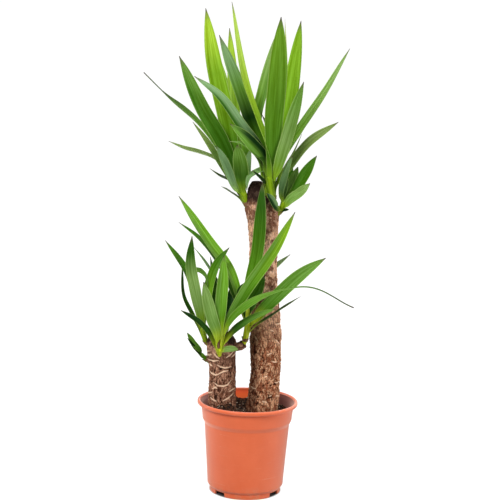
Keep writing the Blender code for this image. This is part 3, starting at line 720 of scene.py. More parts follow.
reach = SOIL_REACH * np.sqrt(np.linspace(0.0004, 1, SOIL_ROWS))
turns = np.linspace(0, 2 * math.pi, SOIL_COLUMNS, endpoint=False)
x, y = reach[:, None] * np.cos(turns), reach[:, None] * np.sin(turns)
top = np.stack([x, y, soil_height(x, y)], -1)
top[..., 2] -= EDGE_FALL * ease(SOIL_REACH - 3, SOIL_REACH, reach)[:, None]
low = np.array([np.stack([r * np.cos(turns), r * np.sin(turns), 0 * turns + z], -1) for r, z in SOIL_SIDES])
bed = np.concatenate([top, low])
print("soil from", low[..., 2].min(), "to", top[..., 2].max().round(1), "mm")

# %% [markdown]
# ## Finish of the soil
# Damp peat is nearly black, with warmer brown fibres and dry lighter crumbs. The lumps of the mesh already
# catch the light, so the material adds only the colour of the crumbs, tiny pale specks and a fine
# roughness.


# %% Potting soil
def soil_finish(name, loose):
    """Peat colours. On the loose crumbs a kind from 0 to 1 picks peat, bark chip or perlite for each lump."""
    made, tree, shader = finish_of(name, 0.92, Specular_IOR_Level=0.12)
    place = object_place(tree)
    brown = patch_mask(tree, place, 260.0, 0.42, 0.68)
    colour = blend(tree, brown, paint(26, 18, 14), paint(88, 56, 40))
    speck = node(tree, "TexVoronoi", {"Vector": place, "Scale": 520.0}, feature="F1").outputs["Distance"]
    pale = product(tree, spread(tree, speck, 0.22, 0.12), patch_mask(tree, place, 300.0, 0.5, 0.62), 0.6)
    colour = blend(tree, pale, colour, paint(168, 140, 112))
    if loose:
        kind = attribute(tree, "kind")
        colour = blend(tree, spread(tree, kind, 0.55, 0.6), colour, paint(104, 70, 46))
        colour = blend(tree, spread(tree, kind, 0.9, 0.94), colour, paint(196, 182, 160))
    tree.links.new(colour, shader.inputs["Base Color"])
    bumped(tree, shader, grain_height(tree, place, 900.0, 0.8), 0.0004)
    return made


soil_heap = Heap()
soil_heap.add(bed * MM)
soil_heap.piece("soil_bed", soil_finish("potting_soil", False), "soil", "potting_soil", 180)

# %% Loose crumbs, bark chips and perlite
CRUMBS = 1500
PHI = (1 + math.sqrt(5)) / 2
corners = np.array([(0, a, b * PHI) for a in (-1, 1) for b in (-1, 1)], float)
TWENTY = unit(np.concatenate([corners, np.roll(corners, 1, 1), np.roll(corners, 2, 1)]))
near = np.linalg.norm(TWENTY[:, None] - TWENTY, axis=2) < 1.2
threes = itertools.combinations(range(len(TWENTY)), 3)
TWENTY_FACES = np.array([(a, b, c) for a, b, c in threes if near[a, b] and near[a, c] and near[b, c]])
one, two, three = TWENTY[TWENTY_FACES].transpose(1, 0, 2)
inward = ((one + two + three) * np.cross(two - one, three - one)).sum(1) < 0
TWENTY_FACES[inward] = TWENTY_FACES[inward][:, ::-1]


def scattered_lumps(centres, sizes, stretch, rng):
    """Copies of the twenty-sided solid, placed at the centres.

    Each corner is moved in or out by up to a fifth. Then the lump is stretched, tilted and turned at random.
    """
    count = len(centres)
    shape = TWENTY * rng.uniform(0.8, 1.15, (count, 12, 1)) * (sizes[:, None] * stretch)[:, None, :]
    turn, tilt = rng.uniform(0, 2 * math.pi, count), rng.uniform(-0.6, 0.6, count)
    c, s, ct, st = np.cos(turn), np.sin(turn), np.cos(tilt), np.sin(tilt)
    zero = np.zeros(count)
    turned = np.array([[c, -s * ct, s * st], [s, c * ct, -c * st], [zero, st, ct]]).transpose(2, 0, 1)
    return np.einsum("nij,nkj->nki", turned, shape) + centres[:, None, :]


rng = np.random.default_rng(21)
far = (SOIL_REACH - 3) * np.sqrt(rng.uniform(0, 1, CRUMBS))
turn = rng.uniform(0, 2 * math.pi, CRUMBS)
kind = rng.uniform(0, 1, CRUMBS)
sizes = rng.uniform(0.5, 1.5, CRUMBS) ** 1.6
bark_chip = (kind > 0.55) & (kind < 0.9)
stretch = np.where(bark_chip[:, None], (1.7, 0.7, 0.45), (1.0, 0.9, 0.7))
x, y = far * np.cos(turn), far * np.sin(turn)
centres = np.stack([x, y, soil_height(x, y) + 0.25 * sizes], 1)
lumps = scattered_lumps(centres, sizes, stretch, rng)
faces = (TWENTY_FACES + len(TWENTY) * np.arange(CRUMBS)[:, None, None]).reshape(-1, 3)
crumb_heap = Heap()
no_quads = np.zeros((0, 4), int)
crumb_heap.add_faces(lumps.reshape(-1, 3) * MM, no_quads, faces, kind=np.repeat(kind, len(TWENTY)))
crumb_heap.piece("soil_crumbs", soil_finish("loose_soil", True), None, "potting_soil", 40)

# %% [markdown]
# ## Bark
# Each trunk was once covered in leaves. Where a leaf fell off it left a thin pale scar that runs part of
# the way round, and between the scars the bark is drawn into short upright fibres and lifts off in small
# flakes. A trunk is a function of the height and of the turn round its axis. Its radius follows the CAD
# levels, and the relief is added to it: broad lumps, upright fibres, flat flakes with a sharp edge, dark
# hollow rings, and raised scars. The same numbers are kept on the points as masks, so that the colours sit
# exactly on the relief.

# %% Shape of the two trunks
TALL_TRUNK = (  # x, y, z and radius in mm, as in the CAD model
    (24, 7, 20, 25), (24, 7, 120, 27), (25, 7, 142, 28), (27, 7, 162, 27.5), (29, 7, 185, 26),
    (30, 7, 212, 25), (31, 7, 262, 25.5), (29, 7, 310, 25), (27.5, 7, 350, 24), (26, 7, 394, 23.5),
    (26, 7, 431, 23.5), (26.5, 7, 460, 25), (25, 7, 474, 26.5), (22, 7, 487, 25.5), (18.5, 7, 502, 21),
    (15.5, 7, 516, 14.5), (16, 7, 528, 8.5),
)
SHORT_TRUNK = (
    (-38, -7, 20, 20), (-42, -8, 120, 22), (-43, -8, 150, 24), (-43, -8, 175, 23.5), (-43, -8, 215, 22.5),
    (-43, -8, 240, 23.5), (-43, -8, 258, 23.5), (-43, -8, 268, 20), (-43, -8, 274, 14),
)
BARK_STEP = 0.95  # mm between rows where the trunk shows
LUMP = 0.035  # how far the outline strays from round, as a share of the radius
SUNK = 0.5  # mm, by which the surface is set in before the relief is added
SCAR_PROUD, SCAR_CALM = 0.9, 0.7  # mm, and the share of the relief that a scar covers


def trunk_rows(levels, top):
    """Heights of the rows: a few below the soil, then evenly to the last level, closing under the top."""
    first, last = levels[0][2], levels[-1][2]
    closing = [last + top * share for share in (0.35, 0.7, 0.9, 1.0)]
    return np.concatenate([[first, 60, 100, 122, 130], np.arange(133, last, BARK_STEP), closing])


def trunk_outline(levels, heights, turns, top):
    """Centre and radius on the grid: cubic curves through the levels, times 1 + LUMP (sin 2t + 0.6 sin 3t).

    t is the turn from +X, and both waves drift with the height, as in the CAD model. Above the last level
    the radius falls to almost nothing, which closes the sawn end as a low dome.
    """
    table = np.array(levels, float)
    inside = np.minimum(heights, table[-1, 2])
    x, y, radius = through(table[:, 2], table[:, [0, 1, 3]], inside).T
    cap = np.clip((heights - table[-1, 2]) / top, 0, 1)
    radius = radius * np.sqrt(np.clip(1 - cap**2, 0.0004, 1))
    angle = turns - math.pi / 2
    drift = heights[:, None] * MM
    wave = np.sin(2 * angle + 31 * drift) + 0.6 * np.sin(3 * angle - 57 * drift)
    return x, y, radius[:, None] * (1 + LUMP * wave)


print("the tall trunk has", len(trunk_rows(TALL_TRUNK, 1)), "rows")


# %% Scars: short pale lines part of the way round
# A scar is a chain of (x, z) places in mm on the side that faces the camera. These are the ones that show.
TALL_SCARS = (
    ((32, 238), (37, 240), (42, 241)), ((40, 227), (46, 225), (51, 224)), ((6, 182), (11, 180), (16, 181)),
    ((24, 160), (29, 158), (34, 157)), ((46, 290), (54, 289)), ((36, 167), (41, 168)), ((28, 201), (34, 202)),
    ((46, 190), (50, 188), (55, 190)), ((46, 264), (50, 260), (53, 254)), ((37, 282), (44, 278)),
    ((11, 271), (14, 266), (17, 261)), ((46, 167), (53, 164)),
)
SHORT_SCARS = (
    ((-66, 231), (-57, 230), (-48, 232)), ((-52, 225), (-45, 221), (-38, 219), (-31, 219), (-25, 220)),
    ((-65, 215), (-60, 209), (-53, 207), (-46, 209)), ((-49, 209), (-40, 213), (-31, 214)),
    ((-56, 194), (-49, 189), (-40, 188), (-33, 190), (-26, 197)), ((-31, 178), (-26, 180), (-21, 181)),
    ((-62, 168), (-57, 164), (-51, 162)), ((-42, 163), (-33, 167), (-24, 174)),
    ((-59, 182), (-53, 186), (-50, 184)), ((-27, 236), (-19, 241)), ((-57, 245), (-52, 238), (-46, 235)),
    ((-36, 236), (-29, 240), (-23, 246)), ((-64, 224), (-58, 221)),
)


def front_scars(chains, levels):
    """Chains of (turn, z): the turn from the front is the arcsine of (x - centre) / radius."""
    table = np.array(levels, float)
    made = []
    for chain in chains:
        x, z = np.array(chain, float).T
        centre, radius = (np.interp(z, table[:, 2], table[:, column]) for column in (0, 3))
        made.append(np.stack([np.arcsin(np.clip((x - centre) / radius, -0.99, 0.99)), z], 1))
    return made


def hanging_scars(rng, count, lowest, highest, half_turn, sag):
    """Scars for the sides and the back: z = z0 - hang (1 - s^2) for s from -1 to 1, like a hanging string.

    Each is tilted a little, and its hang is from a third of sag to a little more than sag, in mm.
    """
    made = []
    for middle in rng.uniform(1.2, 2 * math.pi - 1.2, count):
        s = np.linspace(-1, 1, 6)
        wide = half_turn * rng.uniform(0.5, 1.2)
        tilt = rng.uniform(-2, 2)
        z0 = rng.uniform(lowest, highest)
        hang = sag * rng.uniform(0.3, 1.2)
        made.append(np.stack([middle + wide * s, z0 - hang * (1 - s * s) + tilt * s], 1))
    return made


def scar_mask(chains, turns, heights, radius, width):
    """exp(-(d / w)^2), where d is the distance in mm on the unrolled bark to the nearest piece of a scar.

    w grows from a quarter of the width at both ends of the scar to 1.3 times the width in its middle.
    """
    mask = np.zeros((len(heights), len(turns)))
    for chain in chains:
        rows = np.flatnonzero(np.abs(heights - chain[:, 1].mean()) < 20)
        for number, ((t0, z0), (t1, z1)) in enumerate(zip(chain, chain[1:])):
            across = ((turns - t0 + math.pi) % (2 * math.pi) - math.pi) * radius
            up = heights[rows][:, None] - z0
            a, b = (t1 - t0) * radius, z1 - z0
            share = np.clip((across * a + up * b) / (a * a + b * b), 0, 1)
            apart = np.hypot(across - share * a, up - share * b)
            local = width * (0.25 + 1.05 * np.sin(math.pi * (number + share) / (len(chain) - 1)))
            mask[rows] = np.maximum(mask[rows], np.exp(-((apart / local) ** 2)))
    return mask


print(len(TALL_SCARS), "scars on the tall trunk's front and", len(SHORT_SCARS), "on the short one's")


# %% Relief of the bark
def bark_relief(turns, heights, radius, seed, ring_gap, flaky):
    """Relief in mm on the unrolled trunk, and the masks that colour it.

    All noise is read on a cylinder of the trunk's radius, so that the pattern closes round it. Lumps are
    noise at 13 mm. Cracks are exp(-(n / 0.13)^2) of a noise n 4 mm wide and 13 mm tall, which draws thin
    upright lines where n passes through 0, and the plates between them are raised. Chips are the part of a
    2.6 by 4 mm noise above a threshold. Rings are hollows exp(-(dz / 1.0)^2) at uneven heights that wander
    with the turn and are broken up by another noise.
    """
    t = turns[None, :] + 0 * heights[:, None]
    z = heights[:, None] + 0 * turns[None, :]
    wander = 3.0 * noise(np.stack([np.cos(t) * 1.3, np.sin(t) * 1.3, z / 30], -1), seed + 5)

    def at(across, tall, shift=0.0):
        """Places on the cylinder, in units of across mm round and tall mm up."""
        return np.stack([radius * np.cos(t) / across, radius * np.sin(t) / across, (z + shift) / tall], -1)

    lumps = noise(at(13, 18), seed, 2)
    bend = 3.5 * noise(at(7, 9), seed + 6)
    fibres = noise(at(1.7, 9, bend), seed + 1, 2)
    wide = noise(at(4.2, 13, bend), seed + 2, 2)
    narrow = noise(at(3.0, 7.5, -bend), seed + 7, 2)
    cracks = np.exp(-((wide / 0.13) ** 2)) * ease(-0.5, 0.1, noise(at(11, 11), seed + 8))
    splits = np.exp(-((narrow / 0.12) ** 2))
    plates = ease(0.05, 0.5, np.abs(wide))
    chips = ease(0.3 - flaky, 0.5 - flaky, noise(at(2.6, 4.0, bend), seed + 3, 2))
    phase = (z + wander) / ring_gap + 0.25 * noise(at(40, 14), seed + 4)
    ring = np.exp(-(((phase - np.round(phase)) * ring_gap) ** 2)) * ease(-0.2, 0.4, noise(at(9, 6), seed + 9))
    proud = 0.9 * lumps + 0.3 * fibres + 0.5 * plates
    relief = proud - 0.9 * cracks - 0.35 * splits + 0.8 * chips - 0.5 * ring
    hollow = np.clip(0.9 * cracks + 0.5 * splits + 0.55 * ring - 0.3 * fibres - 0.6 * chips, 0, 1)
    return relief, hollow, chips


def trunk_grid(levels, scars, seed, columns, ring_gap, flaky, top, scar_width):
    """Points of a trunk in mm, and its masks. The reach is the outline's radius - SUNK + the relief.

    A scar stands SCAR_PROUD proud and calms the relief under it. The relief fades where the radius is small.
    """
    heights = trunk_rows(levels, top)
    turns = np.linspace(0, 2 * math.pi, columns, endpoint=False)
    x, y, radius = trunk_outline(levels, heights, turns, top)
    mean_radius = float(radius[len(heights) // 2].mean())
    relief, hollow, flakes = bark_relief(turns, heights, mean_radius, seed, ring_gap, flaky)
    scar = scar_mask(scars, turns, heights, mean_radius, scar_width)
    relief = relief * (1 - SCAR_CALM * scar) + SCAR_PROUD * scar
    fade = np.clip(radius / 12, 0.15, 1)
    reach = radius - SUNK + fade * relief
    x, y = x[:, None] + reach * np.sin(turns), y[:, None] - reach * np.cos(turns)
    points = np.stack([x, y, heights[:, None] + 0 * turns], -1)
    return points, {"hollow": hollow, "flake": flakes, "scar": scar}


print("a sample of the tall trunk's relief, in mm:")
print(bark_relief(np.linspace(0, 1, 4), np.linspace(200, 220, 3), 25, 41, 17.0, 0.05)[0].round(1))

# %% [markdown]
# ## Finish of the bark
# The masks decide where each colour goes: almost black in the cracks, tan on the chips and cream on the
# scars. Between them the bark is a mosaic of small upright scales, each of its own shade, with fine dark
# joints. The tall trunk turns paler and pinker towards its top, where the outer bark has rubbed off and
# red-brown patches are left, while the short one is greyer. Both have a dark weathered end where they were
# sawn through.

# %% Bark material
KNOB_UNDER = (0.045, 0.028)  # metres under the sawn end, between which the knob's dark patches begin
SHADE_SIDE_HEIGHTS = (0.34, 0.27)  # metres: the painted shade on the side that faces the neighbour grows from the first height down to the second
SHADE_SIDE_DEPTH = 0.012  # metres into that side, over which the painted shade grows darker


def bark_finish(name, deep, body, fibre_tint, flake_tint, pale, pale_from_to, sawn_from_to, scale, shade_side_x):
    """Bark colours from the masks, with a paler tint above two heights and a dark sawn end above two others.

    The scales are cells of a mosaic that is pulled upright and bent by a noise. On the side that faces a
    neighbour, below a given x, the lower bark is painted darker: painted shade from the neighbour and its
    leaves. Heights and places are in metres.
    """
    made, tree, shader = finish_of(name, 0.9, Specular_IOR_Level=0.08)
    place, upright = object_place(tree), object_place(tree, (1, 1, 0.4))
    height = axis_of(tree, place, "Z")
    streaks = patch_mask(tree, object_place(tree, (1, 1, 0.16)), 300.0, 0.36, 0.66)
    mottled = patch_mask(tree, place, 62.0, 0.4, 0.62)
    colour = blend(tree, streaks, body, fibre_tint)
    # the mosaic: a shade for each scale, and how far a place is from the joints
    bent = node(tree, "TexNoise", {"Vector": place, "Scale": 210.0, "Detail": 2.0}).outputs["Color"]
    bent = node(tree, "VectorMath", {0: bent, 1: (0.006, 0.006, 0.006), 2: upright}, operation="MULTIPLY_ADD")
    mosaic = {"Vector": bent.outputs[0], "Scale": scale}
    joints = node(tree, "TexVoronoi", mosaic, feature="DISTANCE_TO_EDGE").outputs["Distance"]
    shades = node(tree, "TexVoronoi", mosaic, feature="F1").outputs["Color"]
    shades = node(tree, "SeparateColor", {"Color": shades}).outputs[0]
    # worn pale above, and tan on some scales and on the flakes
    zone = spread(tree, height, *pale_from_to)
    colour = blend(tree, product(tree, zone, maths(tree, "MULTIPLY_ADD", mottled, 0.32, 0.68)), colour, pale)
    tan = product(tree, spread(tree, shades, 0.5, 0.85), 0.72)
    tan = maths(tree, "MAXIMUM", tan, product(tree, attribute(tree, "flake"), 0.75))
    colour = blend(tree, tan, colour, flake_tint)
    # red-brown remains in the pale part and on the knob under the sawn end, and dark scales below
    left_over = product(tree, zone, patch_mask(tree, place, 46.0, 0.52, 0.57))
    on_knob = spread(tree, height, *(sawn_from_to[0] - under for under in KNOB_UNDER))
    knob = product(tree, on_knob, patch_mask(tree, place, 75.0, 0.44, 0.5))
    left_over = product(tree, maths(tree, "MAXIMUM", left_over, knob), spread(tree, shades, 0.16, 0.34), 0.85)
    shaded = maths(tree, "MAXIMUM", spread(tree, shades, 0.36, 0.05, 0.0, 0.6), left_over)
    colour = blend(tree, shaded, colour, blend(tree, 0.5, deep, body))
    # dark joints and cracks, which are calmer in the pale part
    calm = maths(tree, "MULTIPLY_ADD", zone, -0.55, 1.0)
    colour = blend(tree, product(tree, calm, spread(tree, joints, 0.11, 0.02, 0.0, 0.7)), colour, deep)
    hollow = spread(tree, attribute(tree, "hollow"), 0.25, 0.9, 0.0, 0.88)
    colour = blend(tree, product(tree, calm, hollow), colour, deep)
    # scars, painted shade on the side that faces the neighbour, and the sawn end
    scarred = spread(tree, attribute(tree, "scar"), 0.2, 0.6, 0.0, 0.95)
    colour = blend(tree, scarred, colour, paint(255, 218, 184))
    # painted shade: the lower bark on the side that faces the short trunk is darkened
    near_side = spread(tree, axis_of(tree, place, "X"), shade_side_x, shade_side_x - SHADE_SIDE_DEPTH)
    painted_side_shade = product(tree, near_side, spread(tree, height, *SHADE_SIDE_HEIGHTS, 0.0, 0.65))
    colour = blend(tree, painted_side_shade, colour, deep)
    uneven_top = maths(tree, "MULTIPLY_ADD", mottled, 0.012, height)
    colour = blend(tree, spread(tree, uneven_top, *sawn_from_to, 0.0, 0.9), colour, paint(38, 28, 26))
    tree.links.new(colour, shader.inputs["Base Color"])
    scales = product(tree, spread(tree, joints, 0.0, 0.16), 0.8)
    bumped(tree, shader, maths(tree, "ADD", scales, grain_height(tree, upright, 800.0, 0.6)), 0.0005)
    return made


tall_bark = bark_finish(
    "tall_bark", deep=paint(34, 8, 2), body=paint(148, 82, 52), fibre_tint=paint(186, 118, 84),
    flake_tint=paint(255, 198, 154), pale=paint(255, 208, 176), pale_from_to=(0.24, 0.34),
    sawn_from_to=(0.487, 0.505), scale=330.0, shade_side_x=0.021,
)
short_bark = bark_finish(
    "short_bark", deep=paint(34, 12, 6), body=paint(130, 81, 59), fibre_tint=paint(170, 119, 94),
    flake_tint=paint(222, 168, 136), pale=paint(222, 172, 144), pale_from_to=(0.215, 0.245),
    sawn_from_to=(0.262, 0.27), scale=480.0, shade_side_x=-1.0,
)
print("each of the two barks has", len(tall_bark.node_tree.nodes), "nodes")

# %% The tall trunk
rng = np.random.default_rng(31)
scars = front_scars(TALL_SCARS, TALL_TRUNK)
scars += hanging_scars(rng, 30, lowest=145, highest=470, half_turn=0.22, sag=1.5)
points, masks = trunk_grid(
    TALL_TRUNK, scars, seed=41, columns=184, ring_gap=17.0, flaky=0.05, top=1.2, scar_width=0.8
)
tall_heap = Heap()
tall_heap.add(leaning(points), **masks)
tall_heap.piece("trunk_tall", tall_bark, "cane_tall", "tall_bark", 180)

# %% [markdown]
# ## The short trunk and its woody spur
# The short trunk carries one shoot on a spur, a stump of an older side branch that curves up to the right.
# The spur is a tube through its CAD levels with the same kind of relief. It is one more closed shape in the
# trunk's own mesh, with its root sunk in the wood.


# %% Tubes along a path
def tube_grid(path, radius, turns):
    """path + radius (cos t first + sin t second) for each turn t. The radius may differ at every point.

    first and second are square to the path and to each other at each of its points.
    """
    along = unit(np.gradient(path, axis=0))
    first = unit(np.cross(along, (0.0, 1.0, 0.0)))
    second = np.cross(along, first)
    around = np.cos(turns)[:, None] * first[:, None] + np.sin(turns)[:, None] * second[:, None]
    return path[:, None] + radius[..., None] * around


SPUR = ((-34, -10, 250, 8), (-21, -12, 251, 7.2), (-11, -14, 254, 7.2), (-5.5, -15.2, 259, 7.4))
print("the spur's places are", [row[:3] for row in SPUR])

# %% The short trunk
SPUR_ROWS, SPUR_COLUMNS, SPUR_LENGTH = 46, 44, 36  # the length is in mm
rng = np.random.default_rng(32)
scars = front_scars(SHORT_SCARS, SHORT_TRUNK)
scars += hanging_scars(rng, 16, lowest=145, highest=255, half_turn=0.55, sag=4.5)
points, masks = trunk_grid(
    SHORT_TRUNK, scars, seed=51, columns=150, ring_gap=12.0, flaky=-0.12, top=2.5, scar_width=1.05
)
short_heap = Heap()
short_heap.add(leaning(points), **masks)
turns = np.linspace(0, 2 * math.pi, SPUR_COLUMNS, endpoint=False)
share = np.linspace(0, 1, SPUR_ROWS)
path = smooth_path([row[:3] for row in SPUR], SPUR_ROWS)
radius = np.interp(share, np.linspace(0, 1, len(SPUR)), [row[3] for row in SPUR])
relief, hollow, flakes = bark_relief(turns, SPUR_LENGTH * share, radius=7.0, seed=61, ring_gap=7.0, flaky=0.0)
close = np.sqrt(np.clip(1 - ease(0.93, 1.02, share), 0.03, 1))[:, None]
spur = tube_grid(path, radius[:, None] * close + 0.6 * relief * close - 0.3, turns)
short_heap.add(leaning(spur), hollow=hollow, flake=flakes, scar=0 * hollow)
short_heap.piece("trunk_short", short_bark, "cane_short", "short_bark", 180)

# %% [markdown]
# ## Leaves: where each one is
# A yucca leaf is a stiff sword. It clasps the stem at its base, is narrow there, is widest a little before
# its middle and ends in a sharp point. Eight shoots carry them. Each stem is a row of places with a radius,
# and each leaf is one row: its name, its tones from root to tip, its greatest width, how far the blade is
# turned at the root and at the tip, and the places that its midrib passes. Turned 0 the upper face looks to
# the front, 90 the blade stands on edge and 180 its back is in front. The places are those of the CAD
# model. Four leaves are turned a little otherwise, two of them with another width, and one stem starts a
# little lower, after a closer look at the photograph.

# %% The stems and the leaves
STEMS = {
    "crown_left": ((9, 4, 480, 5), (-1, 0, 490, 5.5), (-6, -1, 507, 6.5), (-10, -2, 526, 5.5)),
    "crown_right": ((31, 6, 478, 8), (39, 2, 500, 10), (36, -2, 520, 9.5), (32, -4, 544, 7)),
    "crown_side": ((40, 4, 465, 4), (53, 0, 477, 4.5), (59, -3, 489, 5), (62, -4, 499, 4)),
    "base_right": ((-8, -15, 255, 4.5), (-4, -16, 263, 5), (0, -19, 292, 5.5), (2, -25, 326, 4.5)),
    "base_back": ((-42, 4, 250, 5), (-40, 16, 262, 6), (-41, 22, 280, 6), (-42, 27, 296, 4)),
    "base_front": ((-46, -22, 236, 3.5), (-46.5, -31, 243, 3.8), (-47, -38, 259, 6.5), (-47, -44, 276, 8)),
    "base_left": ((-58, -8, 248, 4), (-69, -8, 257, 4), (-74, -10, 270, 4.5), (-76, -12, 286, 4.5)),
    "base_low_left": ((-59, -7, 222, 3), (-69, -8, 228, 4), (-74, -10, 235, 3), (-77, -12, 241, 2)),
}

